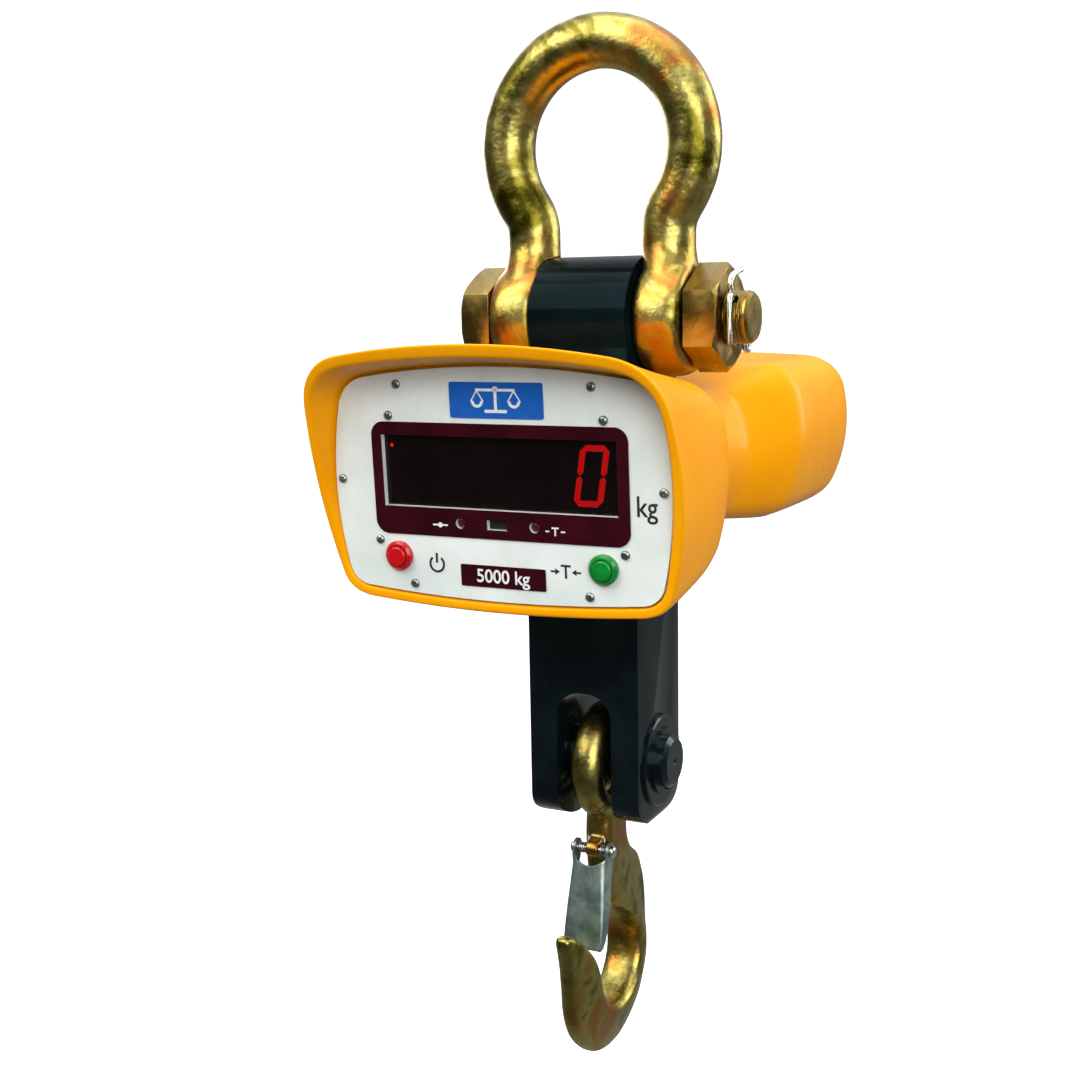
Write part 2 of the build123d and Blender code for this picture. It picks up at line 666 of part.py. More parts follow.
with BuildPart() as panel_screws:
    screw(0, mirrored(SCREWS_OUTER), 1.5, 2.9, PANEL_T + GASKET_T + 7, 1.6)
save(panel_screws, "panel_screws")

with BuildPart() as display_screws:
    screw(0, mirrored(SCREWS_INNER), 1.5, 2.9, PANEL_T + 6, 1.6)
save(display_screws, "display_screws")

with BuildPart() as name_plate:
    with BuildSketch(at_depth(0)):
        with Locations((2.6, 41.2)):
            RectangleRounded(50.4, 17.4, 1.2)
    extrude(amount=0.6)
save(name_plate, "name_plate")

with BuildPart() as rating_plate:
    with BuildSketch(at_depth(0)):
        with Locations((2.0, -45.6)):
            RectangleRounded(46.6, 11, 0.8)
    extrude(amount=0.5)
save(rating_plate, "rating_plate")

BEZEL_R, BEZEL_H, CAP_R, CAP_H = 7.5, 3.2, 5.0, 4.4
for name, x in (("power", -BUTTON_X), ("tare", BUTTON_X)):
    with BuildPart() as switch_bezel:
        with BuildSketch(at_depth(0)):
            with Locations((x, BUTTON_Y)):
                Circle(BEZEL_R)
        extrude(amount=BEZEL_H)
        chamfer(switch_bezel.faces().sort_by(Axis.Y)[0].edges(), 1.2)
        with BuildSketch(at_depth(0)):
            with Locations((x, BUTTON_Y)):
                Circle(HOLE_BEZEL - 0.1)
        extrude(amount=-12)
        with BuildSketch(at_depth(BEZEL_H)):
            with Locations((x, BUTTON_Y)):
                Circle(CAP_R + 0.3)
        extrude(amount=-BEZEL_H - 9, mode=Mode.SUBTRACT)
    save(switch_bezel, f"{name}_bezel")

    with BuildPart() as button_cap:
        with BuildSketch(at_depth(CAP_H)):
            with Locations((x, BUTTON_Y)):
                Circle(CAP_R)
        extrude(amount=-CAP_H - 6)
        fillet(button_cap.faces().sort_by(Axis.Y)[0].edges(), 1.0)
    save(button_cap, f"{name}_button")

with BuildPart() as switch_bodies:
    with BuildSketch(at_depth(-12)):
        with Locations((-BUTTON_X, BUTTON_Y), (BUTTON_X, BUTTON_Y)):
            Rectangle(13, 13)
    extrude(amount=-12)
save(switch_bodies, "switch_bodies")

with BuildPart() as switch_nuts:
    with BuildSketch(at_depth(-PANEL_T)):
        with Locations((-BUTTON_X, BUTTON_Y), (BUTTON_X, BUTTON_Y)):
            Circle(8.2)
            Circle(HOLE_BEZEL - 0.1, mode=Mode.SUBTRACT)
    extrude(amount=-2.4)
save(switch_nuts, "switch_nuts")

# ---------------------------------------------------------------- battery, rear cover and charging
with BuildPart() as battery_tray:
    with Locations((0, BATTERY_Y, BATTERY_FLOOR)):
        Box(BATTERY[0] + 4, BATTERY[1] + 4, 14, align=(Align.CENTER, Align.CENTER, Align.MIN))
        Box(BATTERY[0], BATTERY[1], 14, align=(Align.CENTER, Align.CENTER, Align.MIN), mode=Mode.SUBTRACT)
        Box(BATTERY[0] + 4, BATTERY[1] + 4, 3, align=(Align.CENTER, Align.CENTER, Align.MAX))
save(battery_tray, "battery_tray")

with BuildPart() as battery_pack:
    with Locations((0, BATTERY_Y, BATTERY_FLOOR)):
        Box(*BATTERY, align=(Align.CENTER, Align.CENTER, Align.MIN))
    fillet(battery_pack.edges().filter_by(Axis.Z), 2)
    with Locations((-38, BATTERY_Y - 24, BATTERY_FLOOR + BATTERY[2]), (38, BATTERY_Y - 24, BATTERY_FLOOR + BATTERY[2])):
        Box(5, 0.8, 6, align=(Align.CENTER, Align.CENTER, Align.MIN))
save(battery_pack, "battery_pack")

DOOR_SCREWS = [(side * 60, DOOR_Z + up) for side in (-1, 1) for up in (-18, 18)]
with BuildPart() as rear_gasket:
    with BuildSketch(Plane.XZ.offset(-DOOR_Y)):
        with Locations((0, DOOR_Z)):
            RectangleRounded(130, 60, 8)
            RectangleRounded(106, 50, 5, mode=Mode.SUBTRACT)
        with Locations(*DOOR_SCREWS):
            Circle(2, mode=Mode.SUBTRACT)
    extrude(amount=-1)
save(rear_gasket, "rear_gasket")

with BuildPart() as rear_cover:
    with BuildSketch(Plane.XZ.offset(-DOOR_Y - 1)):
        with Locations((0, DOOR_Z)):
            RectangleRounded(130, 60, 8)
    extrude(amount=-3)
    fillet(rear_cover.faces().sort_by(Axis.Y)[-1].edges(), 1.2)
    with BuildSketch(Plane.XZ.offset(-DOOR_Y - 1)):
        with Locations(*DOOR_SCREWS):
            Circle(2)
    extrude(amount=-4, mode=Mode.SUBTRACT)
save(rear_cover, "rear_cover")

with BuildPart() as rear_cover_screws:
    with BuildSketch(Plane.XZ.offset(-DOOR_Y - 4)):
        with Locations(*DOOR_SCREWS):
            Circle(3.6)
    extrude(amount=-2)
    with BuildSketch(Plane.XZ.offset(-DOOR_Y - 6)):
        with Locations(*DOOR_SCREWS):
            Rectangle(4.4, 0.9)
            Rectangle(0.9, 4.4)
    extrude(amount=1.2, mode=Mode.SUBTRACT)
    with BuildSketch(Plane.XZ.offset(-DOOR_Y - 4)):
        with Locations(*DOOR_SCREWS):
            Circle(1.9)
    extrude(amount=4)
save(rear_cover_screws, "rear_cover_screws")

with BuildPart() as charge_socket:
    for radius, length in ((FLANGE_R, FLANGE_T), (5.9, 18)):
        with BuildSketch(along_x(SOCKET_X)):
            with Locations((SOCKET_Y, SOCKET_Z)):
                Circle(radius)
        extrude(amount=length)
    with BuildSketch(along_x(SOCKET_X)):
        with Locations((SOCKET_Y, SOCKET_Z)):
            Circle(JACK_R)
    extrude(amount=JACK_DEPTH, mode=Mode.SUBTRACT)
save(charge_socket, "charge_socket")

# ---------------------------------------------------------------- hook, latch and latch spring


def bowl(radius, degrees):
    """A point on a circle about the bowl's centre, in Y and Z."""
    return BOWL_Y + radius * cos(radians(degrees)), BOWL_Z + radius * sin(radians(degrees))


def seat(degrees):
    """A point on the round the load sits in, in Y and Z."""
    return SEAT_Y + BOWL_IN * cos(radians(degrees)), SEAT_Z + BOWL_IN * sin(radians(degrees))


throat, heel = seat(79), seat(187)
toe, back = bowl(BOWL_OUT, 170), bowl(BOWL_OUT, 0)

with BuildPart() as load_hook:
    with BuildSketch(Plane.YZ):
        with BuildLine():
            Line((-14.5, -408), (-14.5, -440))
            Spline((-14.5, -440), (-9.5, -460), throat, tangents=[(0, -1), (cos(radians(-11)), sin(radians(-11)))])
            ThreePointArc(throat, seat(-47), heel)
            Spline(heel, (-33.2, -492.5), (-38.2, -485), (-48, -474.5), tangents=[(-0.12, 1), (-0.8, 0.6)])
            ThreePointArc((-48, -474.5), (-57, -467.6), (-62.6, -472.5))
            Spline((-62.6, -472.5), (-58.4, -483), toe, tangents=[(0.45, -1), (-0.17, -1)])
            ThreePointArc(toe, bowl(BOWL_OUT, -95), back)
            Spline(back, (46.8, -474), (36, -451), (21, -441), (14.5, -428), tangents=[(0, 1), (0, 1)])
            Polyline((14.5, -428), (14.5, -408), (-14.5, -408))
        make_face()
    extrude(amount=HOOK_X, both=True)
    for side in (-1, 1):
        with Locations((side * (NECK_X + 5), 0, -478)):
            Box(10, 140, 100, align=(Align.CENTER, Align.CENTER, Align.MIN), mode=Mode.SUBTRACT)
    with BuildSketch(Plane.XZ):
        with Locations((0, EYE_Z + EYE_R)):
            Ellipse(EYE_X, EYE_RADIAL)
    revolve(axis=Axis((0, 0, EYE_Z), (1, 0, 0)))
    with BuildSketch(Plane.YZ):
        with Locations((LATCH_Y, LATCH_Z)):
            Circle(4.2)
        with Locations((LATCH_Y + 3, LATCH_Z)):
            Rectangle(6, 8.4)
    extrude(amount=4, both=True)
    with Locations(Plane.YZ):
        with Locations((0, EYE_Z, 0)):
            Cylinder(EYE_R - EYE_RADIAL, 40, mode=Mode.SUBTRACT)
        with Locations((LATCH_Y, LATCH_Z, 0)):
            Cylinder(2, 30, mode=Mode.SUBTRACT)
save(load_hook, "load_hook")

FLANGE_IN, FLANGE_OUT = 10.2, 11.9
with BuildPart() as latch_pin:
    with BuildSketch(along_x(-FLANGE_OUT - 2)):
        with Locations((LATCH_Y, LATCH_Z)):
            Circle(2)
    extrude(amount=2 * FLANGE_OUT + 4)
    for side in (-1, 1):
        with BuildSketch(along_x(side * (FLANGE_OUT + 0.3))):
            with Locations((LATCH_Y, LATCH_Z)):
                Circle(3.4)
        extrude(amount=side * 1.7)
save(latch_pin, "latch_pin")


def latch_at(down, front):
    """Y and Z of a point of the latch, measured down its length and out to its front."""
    y = LATCH_Y - down * sin(LATCH_LEAN) - front * cos(LATCH_LEAN)
    z = LATCH_Z - down * cos(LATCH_LEAN) + front * sin(LATCH_LEAN)
    return y, z


with BuildPart() as safety_latch:
    with BuildSketch(Plane.YZ):
        with BuildLine():
            Polyline(latch_at(1, 4.4), latch_at(1, 6.4), latch_at(LATCH_LEN, 6.4), latch_at(LATCH_LEN, 4.4), close=True)
        make_face()
    extrude(amount=FLANGE_OUT, both=True)
    for side in (-1, 1):
        with BuildSketch(along_x(side * FLANGE_IN)):
            with Locations((LATCH_Y, LATCH_Z)):
                Circle(5)
            with BuildLine():
                Polyline(
                    latch_at(0, -5),
                    latch_at(-1, 4.9),
                    latch_at(1, 6.4),
                    latch_at(LATCH_LEN - 2, 6.4),
                    latch_at(LATCH_LEN - 2, 3),
                    close=True,
                )
            make_face()
            with Locations((LATCH_Y, LATCH_Z)):
                Circle(2.05, mode=Mode.SUBTRACT)
        extrude(amount=side * (FLANGE_OUT - FLANGE_IN))
save(safety_latch, "safety_latch")

SPRING_R, SPRING_WIRE, SPRING_TURNS = 2.5, 1.0, 3
with BuildPart() as latch_spring:
    for side in (-1, 1):
        for i in range(SPRING_TURNS):
            with BuildSketch(Plane.XZ.offset(-LATCH_Y)):
                with Locations((side * (5.2 + i * 1.5), LATCH_Z + SPRING_R)):
                    Circle(SPRING_WIRE / 2)
            revolve(axis=Axis((0, LATCH_Y, LATCH_Z), (1, 0, 0)))
save(latch_spring, "latch_spring")
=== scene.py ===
import json
import math
import bmesh
import bpy
import numpy as np
from mathutils import Matrix, Vector, noise


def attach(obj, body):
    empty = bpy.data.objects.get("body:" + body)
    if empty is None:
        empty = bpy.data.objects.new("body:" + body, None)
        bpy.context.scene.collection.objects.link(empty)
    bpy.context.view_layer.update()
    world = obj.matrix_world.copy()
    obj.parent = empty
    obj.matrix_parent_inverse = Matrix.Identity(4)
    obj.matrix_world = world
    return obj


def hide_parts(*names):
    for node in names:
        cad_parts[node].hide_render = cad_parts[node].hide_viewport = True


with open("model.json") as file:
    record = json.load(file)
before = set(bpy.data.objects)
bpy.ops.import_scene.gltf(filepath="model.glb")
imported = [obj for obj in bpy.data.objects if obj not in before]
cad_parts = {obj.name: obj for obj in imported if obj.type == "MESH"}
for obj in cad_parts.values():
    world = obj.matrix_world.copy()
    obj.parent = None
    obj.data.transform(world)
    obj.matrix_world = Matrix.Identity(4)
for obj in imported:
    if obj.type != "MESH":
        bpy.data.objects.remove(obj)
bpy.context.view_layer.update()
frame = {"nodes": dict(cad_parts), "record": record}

scene = bpy.context.scene
scene.view_settings.view_transform = "Standard"
MM = 0.001
BOLT_Z = -132.0
HEX_FLAT = 25.0
CLEVIS_PIN = (0, 0, -379.5)
RIVET = (0, -19, -431)
SOCKET_Y, SOCKET_Z = 100.0, -205.0
COTTER_X, PIN_LEAN = 79.0, math.radians(45)


# ---------------------------------------------------------------- camera
def camera():
    """The camera at the photograph's viewing angle."""
    yaw, pitch, roll = math.radians(26.554), math.radians(9.459), math.radians(-1.031)
    forward = Vector((-math.sin(yaw) * math.cos(pitch), math.cos(yaw) * math.cos(pitch), -math.sin(pitch)))
    level = Vector((math.cos(yaw), math.sin(yaw), 0))
    above = level.cross(forward)
    right = level * math.cos(roll) + above * math.sin(roll)
    up = above * math.cos(roll) - level * math.sin(roll)
    data = bpy.data.cameras.new("camera")
    data.lens = 49.82
    data.sensor_width = 36
    data.clip_start = 0.01
    data.clip_end = 50
    made = bpy.data.objects.new("camera", data)
    rows = Matrix((right, up, -forward)).transposed().to_4x4()
    made.matrix_world = Matrix.Translation((0.3387, -0.7579, -0.1165)) @ rows
    scene.collection.objects.link(made)
    scene.camera = made


# ---------------------------------------------------------------- materials
LOOKS = {}


def tune(name, settings):
    """Sets inputs of a material's shader, given as {input: value}."""
    shader = LOOKS[name].node_tree.nodes["Principled BSDF"]
    for key, value in settings.items():
        shader.inputs[key].default_value = value


def map_range(tree, from_min, from_max, to_min, to_max):
    """A node that takes one span of values to another."""
    node = tree.nodes.new("ShaderNodeMapRange")
    for key, value in zip(("From Min", "From Max", "To Min", "To Max"), (from_min, from_max, to_min, to_max)):
        node.inputs[key].default_value = value
    return node


def stops(ramp, colours):
    """Sets a colour ramp's stops, given as (position, colour)."""
    while len(ramp.elements) > 1:
        ramp.elements.remove(ramp.elements[-1])
    for i, (at, colour) in enumerate(colours):
        element = ramp.elements[0] if i == 0 else ramp.elements.new(at)
        element.position = at
        element.color = (*colour, 1)


def material(
    name,
    colours,
    grain,
    metallic,
    rough,
    rough_grain=90,
    bumps=((500, 0.00006),),
    coat=0.0,
    coat_rough=0.05,
    ior=1.5,
    twist=0.4,
):
    """Adds a principled material whose colour, roughness and relief vary with place to LOOKS.

    colours are a ramp's stops, grain and rough_grain the fineness of the colour's and the roughness's
    variation, rough the roughness's span, and bumps (fineness, height in metres).
    """
    made = bpy.data.materials.new(name)
    made.use_nodes = True
    tree = made.node_tree
    shader = tree.nodes["Principled BSDF"]
    LOOKS[name] = made
    tune(name, {"Metallic": metallic, "IOR": ior})
    if coat:
        tune(name, {"Coat Weight": coat, "Coat Roughness": coat_rough})
    place = tree.nodes.new("ShaderNodeTexCoord")

    def cloud(scale, fine=5, turn=0.0):
        """The value of a noise of this fineness."""
        node = tree.nodes.new("ShaderNodeTexNoise")
        node.inputs["Scale"].default_value = scale
        node.inputs["Detail"].default_value = fine
        node.inputs["Roughness"].default_value = 0.6
        node.inputs["Distortion"].default_value = turn
        tree.links.new(place.outputs["Object"], node.inputs["Vector"])
        return node.outputs["Fac"]

    ramp = tree.nodes.new("ShaderNodeValToRGB")
    stops(ramp.color_ramp, colours)
    tree.links.new(cloud(grain, turn=twist), ramp.inputs["Fac"])
    tree.links.new(ramp.outputs["Color"], shader.inputs["Base Color"])
    span = map_range(tree, 0.3, 0.7, *rough)
    tree.links.new(cloud(rough_grain), span.inputs["Value"])
    tree.links.new(span.outputs["Result"], shader.inputs["Roughness"])
    last = None
    for scale, height in bumps:
        bump = tree.nodes.new("ShaderNodeBump")
        bump.inputs["Strength"].default_value = 1
        bump.inputs["Distance"].default_value = height
        tree.links.new(cloud(scale, 3), bump.inputs["Height"])
        if last:
            tree.links.new(last.outputs["Normal"], bump.inputs["Normal"])
        last = bump
    tree.links.new(last.outputs["Normal"], shader.inputs["Normal"])


GOLD = (
    (0.30, (0.055, 0.047, 0.0035)),
    (0.39, (0.16, 0.135, 0.016)),
    (0.48, (0.40, 0.34, 0.10)),
    (0.55, (0.36, 0.25, 0.045)),
    (0.62, (0.40, 0.16, 0.035)),
    (0.72, (0.30, 0.20, 0.045)),
)
material("yellow_zinc_forging", GOLD, 30, 1.0, (0.24, 0.40), 70, ((70, 0.0008), (420, 0.00010)), twist=0.5)
material(
    "yellow_zinc_machined",
    ((0.32, (0.15, 0.105, 0.018)), (0.5, (0.33, 0.22, 0.05)), (0.68, (0.46, 0.33, 0.11))),
    30, 1.0, (0.20, 0.34), 80, ((300, 0.00005),), twist=0.8,
)
material(
    "bright_zinc", ((0.35, (0.55, 0.60, 0.58)), (0.65, (0.80, 0.84, 0.82))), 60, 1.0, (0.16, 0.30), 120,
    ((350, 0.00004),),
)
material(
    "screw_zinc", ((0.35, (0.16, 0.19, 0.17)), (0.65, (0.40, 0.45, 0.41))), 300, 1.0, (0.28, 0.4), 200,
    ((900, 0.00003),),
)
material(
    "black_enamel", ((0.35, (0.0025, 0.005, 0.006)), (0.7, (0.006, 0.012, 0.013))), 30, 0.0, (0.10, 0.2), 60,
    ((90, 0.00006), (600, 0.00001)), coat=0.3, ior=1.35,
)
# a darker, less reflective copy of the black enamel: painted shade for the load block between the shackle's
# ears, while the fork keeps the plain black enamel
material(
    "black_block_painted_shade", ((0.35, (0.0012, 0.0035, 0.0045)), (0.7, (0.003, 0.008, 0.010))), 30, 0.0, (0.08, 0.14),
    60, ((90, 0.00004), (600, 0.00001)), ior=1.27,
)
tune("black_enamel", {"Specular Tint": (0.42, 0.82, 0.85, 1)})
tune("black_block_painted_shade", {"Specular Tint": (0.42, 0.82, 0.85, 1), "Specular IOR Level": 0.13})
material(
    "orange_enamel", ((0.30, (0.90, 0.32, 0.0012)), (0.5, (0.93, 0.36, 0.002)), (0.7, (0.95, 0.40, 0.003))),
    14, 0.0, (0.26, 0.38), 40, ((45, 0.00004),), coat=0.06, coat_rough=0.06, ior=1.32,
)
tune("orange_enamel", {"Specular Tint": (1.0, 0.68, 0.22, 1), "Specular IOR Level": 0.28})
material(
    "white_enamel", ((0.35, (0.66, 0.72, 0.68)), (0.65, (0.78, 0.83, 0.79))), 22, 0.0, (0.30, 0.42), 60,
    ((300, 0.00003),),
)
material(
    "latch_zinc", ((0.32, (0.12, 0.18, 0.16)), (0.5, (0.24, 0.32, 0.29)), (0.68, (0.42, 0.50, 0.44))),
    60, 0.75, (0.26, 0.40), 140, ((260, 0.00008), (700, 0.00002)),
)
material(
    "maroon_film", ((0.35, (0.022, 0.0008, 0.003)), (0.65, (0.040, 0.0015, 0.005))), 40, 0.0, (0.12, 0.2), 80,
    ((200, 0.00002),),
)
material(
    "display_black", ((0.35, (0.004, 0.003, 0.003)), (0.65, (0.010, 0.008, 0.008))), 60, 0.0, (0.35, 0.5), 80,
    ((500, 0.00003),),
)
material(
    "black_rubber", ((0.35, (0.010, 0.010, 0.011)), (0.65, (0.022, 0.022, 0.024))), 80, 0.0, (0.55, 0.7), 150,
    ((700, 0.00006),),
)
material(
    "circuit_board", ((0.4, (0.010, 0.10, 0.035)), (0.6, (0.03, 0.20, 0.07))), 120, 0.0, (0.3, 0.45), 100,
    ((400, 0.00004),),
)
material(
    "blue_plate", ((0.35, (0.008, 0.10, 0.44)), (0.65, (0.012, 0.12, 0.50))), 18, 0.0, (0.2, 0.3), 90,
    ((300, 0.00002),),
)
material(
    "red_button", ((0.35, (0.40, 0.003, 0.005)), (0.65, (0.54, 0.006, 0.008))), 120, 0.0, (0.18, 0.28), 200,
    ((500, 0.00002),), coat=0.3, ior=1.38,
)
material(
    "green_button", ((0.35, (0.002, 0.15, 0.016)), (0.65, (0.004, 0.24, 0.03))), 120, 0.0, (0.18, 0.28), 200,
    ((500, 0.00002),), coat=0.3, ior=1.38,
)
material(
    "clear_lens", ((0.4, (0.05, 0.004, 0.004)), (0.6, (0.10, 0.008, 0.008))), 200, 0.0, (0.08, 0.15), coat=1.0
)
for plain, one, other, grain, metallic, rough in (
    ("brass_post", (0.55, 0.38, 0.13), (0.78, 0.58, 0.25), 100, 1.0, (0.25, 0.4)),
    ("battery_case", (0.03, 0.03, 0.035), (0.06, 0.06, 0.07), 60, 0.0, (0.45, 0.6)),
    ("spring_steel", (0.28, 0.28, 0.29), (0.48, 0.48, 0.5), 90, 1.0, (0.25, 0.4)),
    ("ink_dark", (0.012, 0.013, 0.013), (0.022, 0.023, 0.023), 300, 0.0, (0.4, 0.5)),
    ("ink_white", (0.72, 0.74, 0.74), (0.84, 0.86, 0.86), 300, 0.0, (0.4, 0.5)),
    ("dark_filter", (0.004, 0.002, 0.002), (0.007, 0.003, 0.003), 60, 0.0, (0.05, 0.1)),
    ("segment_lit", (0.50, 0.002, 0.002), (0.62, 0.004, 0.003), 500, 0.0, (0.4, 0.5)),
    ("segment_off", (0.007, 0.003, 0.003), (0.010, 0.004, 0.004), 300, 0.0, (0.3, 0.4)),
):
    material(plain, ((0.4, one), (0.6, other)), grain, metallic, rough)
# the dark display filter lets the lit segments show
tune("dark_filter", {"Alpha": 0.62})
tune("segment_lit", {"Emission Color": (1.0, 0.004, 0.006, 1), "Emission Strength": 2.8})
LOOKS["component_black"] = LOOKS["display_black"]


# ---------------------------------------------------------------- meshes
def piece(name, mesh, body, slot, replaces=(), look=None, smooth=True, angle=None):
    """Adds a mesh that rides on a body and stands for CAD nodes; its look is its slot's, or another named."""
    made = bpy.data.objects.new(name, mesh)
    scene.collection.objects.link(made)
    mesh.materials.clear()
    mesh.materials.append(LOOKS[look or slot])
    for face in mesh.polygons:
        face.use_smooth = smooth
    if angle is not None:
        mesh.set_sharp_from_angle(angle=math.radians(angle))
    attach(made, body)
    if replaces:
        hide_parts(*replaces)


def grid_mesh(name, rings, cap_first=False, cap_last=False, closed=True):
    """A surface through rings of equal length."""
    verts = [tuple(p) for ring in rings for p in ring]
    n = len(rings[0])
    faces = []
    for i in range(len(rings) - 1):
        for j in range(n if closed else n - 1):
            k = (j + 1) % n
            faces.append((i * n + j, i * n + k, (i + 1) * n + k, (i + 1) * n + j))
    if cap_first:
        faces.append(tuple(reversed(range(n))))
    if cap_last:
        faces.append(tuple(range((len(rings) - 1) * n, len(rings) * n)))
    mesh = bpy.data.meshes.new(name)
    mesh.from_pydata(verts, [], faces)
    tidy = bmesh.new()
    tidy.from_mesh(mesh)
    bmesh.ops.remove_doubles(tidy, verts=tidy.verts, dist=1e-7)
    bmesh.ops.recalc_face_normals(tidy, faces=tidy.faces)
    tidy.to_mesh(mesh)
    tidy.free()
    return mesh


def joined(name, meshes):
    """One mesh out of several."""
    whole = bmesh.new()
    for mesh in meshes:
        whole.from_mesh(mesh)
    made = bpy.data.meshes.new(name)
    whole.to_mesh(made)
    whole.free()
    return made


def baked(mesh, modifiers):
    """The mesh after a list of (modifier type, settings)."""
    carrier = bpy.data.objects.new("carrier", mesh)
    scene.collection.objects.link(carrier)
    for kind, settings in modifiers:
        added = carrier.modifiers.new(kind, kind)
        for key, value in settings.items():
            setattr(added, key, value)
    graph = bpy.context.evaluated_depsgraph_get()
    made = bpy.data.meshes.new_from_object(carrier.evaluated_get(graph))
    bpy.data.objects.remove(carrier)
    return made


def roughened(mesh, waves):
    """Moves a mesh's points in and out by smooth noise, as on a forging, given as (fineness, height in m)."""
    n = len(mesh.vertices)
    places, outward = np.zeros(n * 3, np.float32), np.zeros(n * 3, np.float32)
    mesh.vertices.foreach_get("co", places)
    mesh.vertex_normals.foreach_get("vector", outward)
    places, outward = places.reshape(-1, 3), outward.reshape(-1, 3)
    moved = np.zeros(n)
    for fineness, height in waves:
        moved += height * np.array([noise.noise(Vector(p)) for p in places * fineness + fineness * 0.1])
    mesh.vertices.foreach_set("co", (places + outward * moved[:, None]).astype(np.float32).ravel())
    mesh.update()


def carve(mesh, cutters, keep=False):
    """The mesh with cutter meshes subtracted, or intersected."""
    carrier = bpy.data.objects.new("carrier", mesh)
    scene.collection.objects.link(carrier)
    tools = []
    for cutter in cutters:
        tool = bpy.data.objects.new("tool", cutter)
        scene.collection.objects.link(tool)
        tools.append(tool)
        added = carrier.modifiers.new("cut", "BOOLEAN")
        added.operation = "INTERSECT" if keep else "DIFFERENCE"
        added.solver = "MANIFOLD"
        added.object = tool
    graph = bpy.context.evaluated_depsgraph_get()
    made = bpy.data.meshes.new_from_object(carrier.evaluated_get(graph))
    for tool in tools + [carrier]:
        bpy.data.objects.remove(tool)
    return made


def plate(name, outline, low, high, place, round_edge=0.0, segments=3):
    """A flat outline given thickness from low to high along the third axis, its rims rounded, then placed."""
    work = bmesh.new()
    under = [work.verts.new((x * MM, y * MM, low * MM)) for x, y in outline]
    over = [work.verts.new((x * MM, y * MM, high * MM)) for x, y in outline]
    bottom = work.faces.new(list(reversed(under)))
    top = work.faces.new(over)
    n = len(outline)
    for i in range(n):
        j = (i + 1) % n
        work.faces.new((under[i], under[j], over[j], over[i]))
    if round_edge:
        rims = list(top.edges) + list(bottom.edges)
        bmesh.ops.bevel(
            work, geom=rims, offset=round_edge * MM, segments=segments, profile=0.5, affect="EDGES",
            clamp_overlap=True,
        )
    bmesh.ops.recalc_face_normals(work, faces=work.faces)
    mesh = bpy.data.meshes.new(name)
    work.to_mesh(mesh)
    work.free()
    mesh.transform(place)
    return mesh


def rounded(points, radii, steps):
    """A closed outline with its corners rounded, each to its own radius."""
    out = []
    n = len(points)
    for i, p in enumerate(points):
        r = radii[i]
        p = Vector(p)
        a = Vector(points[i - 1]) - p
        b = Vector(points[(i + 1) % n]) - p
        if r <= 0:
            out.append((p.x, p.y))
            continue
        half = a.angle(b) / 2
        reach = min(r / math.tan(half), a.length * 0.499, b.length * 0.499)
        r = reach * math.tan(half)
        start = p + a.normalized() * reach
        end = p + b.normalized() * reach
        centre = p + (a.normalized() + b.normalized()).normalized() * (r / math.sin(half))
        u = start - centre
        v = end - centre
        turn = math.atan2(u.x * v.y - u.y * v.x, u.dot(v))
        for k in range(steps + 1):
            t = turn * k / steps
            x = centre.x + u.x * math.cos(t) - u.y * math.sin(t)
            y = centre.y + u.x * math.sin(t) + u.y * math.cos(t)
            out.append((x, y))
    return out


def circle(cx, cy, r, n):
    """A closed outline of n points on a circle."""
    turns = [2 * math.pi * i / n for i in range(n)]
    return [(cx + r * math.cos(a), cy + r * math.sin(a)) for a in turns]


def crease_bevel(width, degrees, segments=3):
    """The modifier entry that rounds every edge sharper than an angle."""
    settings = {"width": width, "segments": segments, "limit_method": "ANGLE"}
    settings["angle_limit"] = math.radians(degrees)
    return "BEVEL", settings


def axes(origin, x, y, z):
    """The matrix that puts a local frame at origin, in millimetres, with these axes."""
    return Matrix.Translation(Vector(origin) * MM) @ Matrix((x, y, z)).transposed().to_4x4()


YZ = axes((0, 0, 0), Vector((0, 1, 0)), Vector((0, 0, 1)), Vector((1, 0, 0)))
XZ = axes((0, 0, 0), Vector((1, 0, 0)), Vector((0, 0, 1)), Vector((0, -1, 0)))
TILT = math.radians(3.16)
PANEL_Y, PANEL_Z = -127.4, -208.6
PANEL = axes(
    (0, PANEL_Y, PANEL_Z),
    Vector((1, 0, 0)),
    Vector((0, -math.sin(TILT), math.cos(TILT))),
    Vector((0, -math.cos(TILT), -math.sin(TILT))),
)


def smooth_path(points, steps):
    """Points along an open smooth curve through the given ones, of any dimension."""
    pts = np.array(points, float)
    n = len(pts)
    out = []
    for i in range(n - 1):
        p1, p2 = pts[i], pts[i + 1]
        p0 = pts[i - 1] if i > 0 else 2 * p1 - p2
        p3 = pts[i + 2] if i + 2 < n else 2 * p2 - p1
        for k in range(steps):
            t = k / steps
            once, twice = (p2 - p0) * t, (2 * p0 - 5 * p1 + 4 * p2 - p3) * t * t
            out.append(0.5 * (2 * p1 + once + twice + (3 * p1 - p0 - 3 * p2 + p3) * t ** 3))
    out.append(pts[-1])
    return np.array(out)


def sweep(name, path, radius, around):
    """A closed tube along an open path in millimetres."""
    path = np.array(path, float)
    tangents = np.gradient(path, axis=0)
    tangents /= np.linalg.norm(tangents, axis=1)[:, None]
    side = np.cross(tangents[0], (0.31, 0.95, 0.07))
    side /= np.linalg.norm(side)
    turns = [2 * math.pi * k / around for k in range(around)]
    rings = []
    for point, tangent in zip(path, tangents):
        side = side - tangent * np.dot(side, tangent)
        side /= np.linalg.norm(side)
        other = np.cross(tangent, side)
        rings.append([(point + radius * (side * math.cos(a) + other * math.sin(a))) * MM for a in turns])
    return grid_mesh(name, rings, True, True)


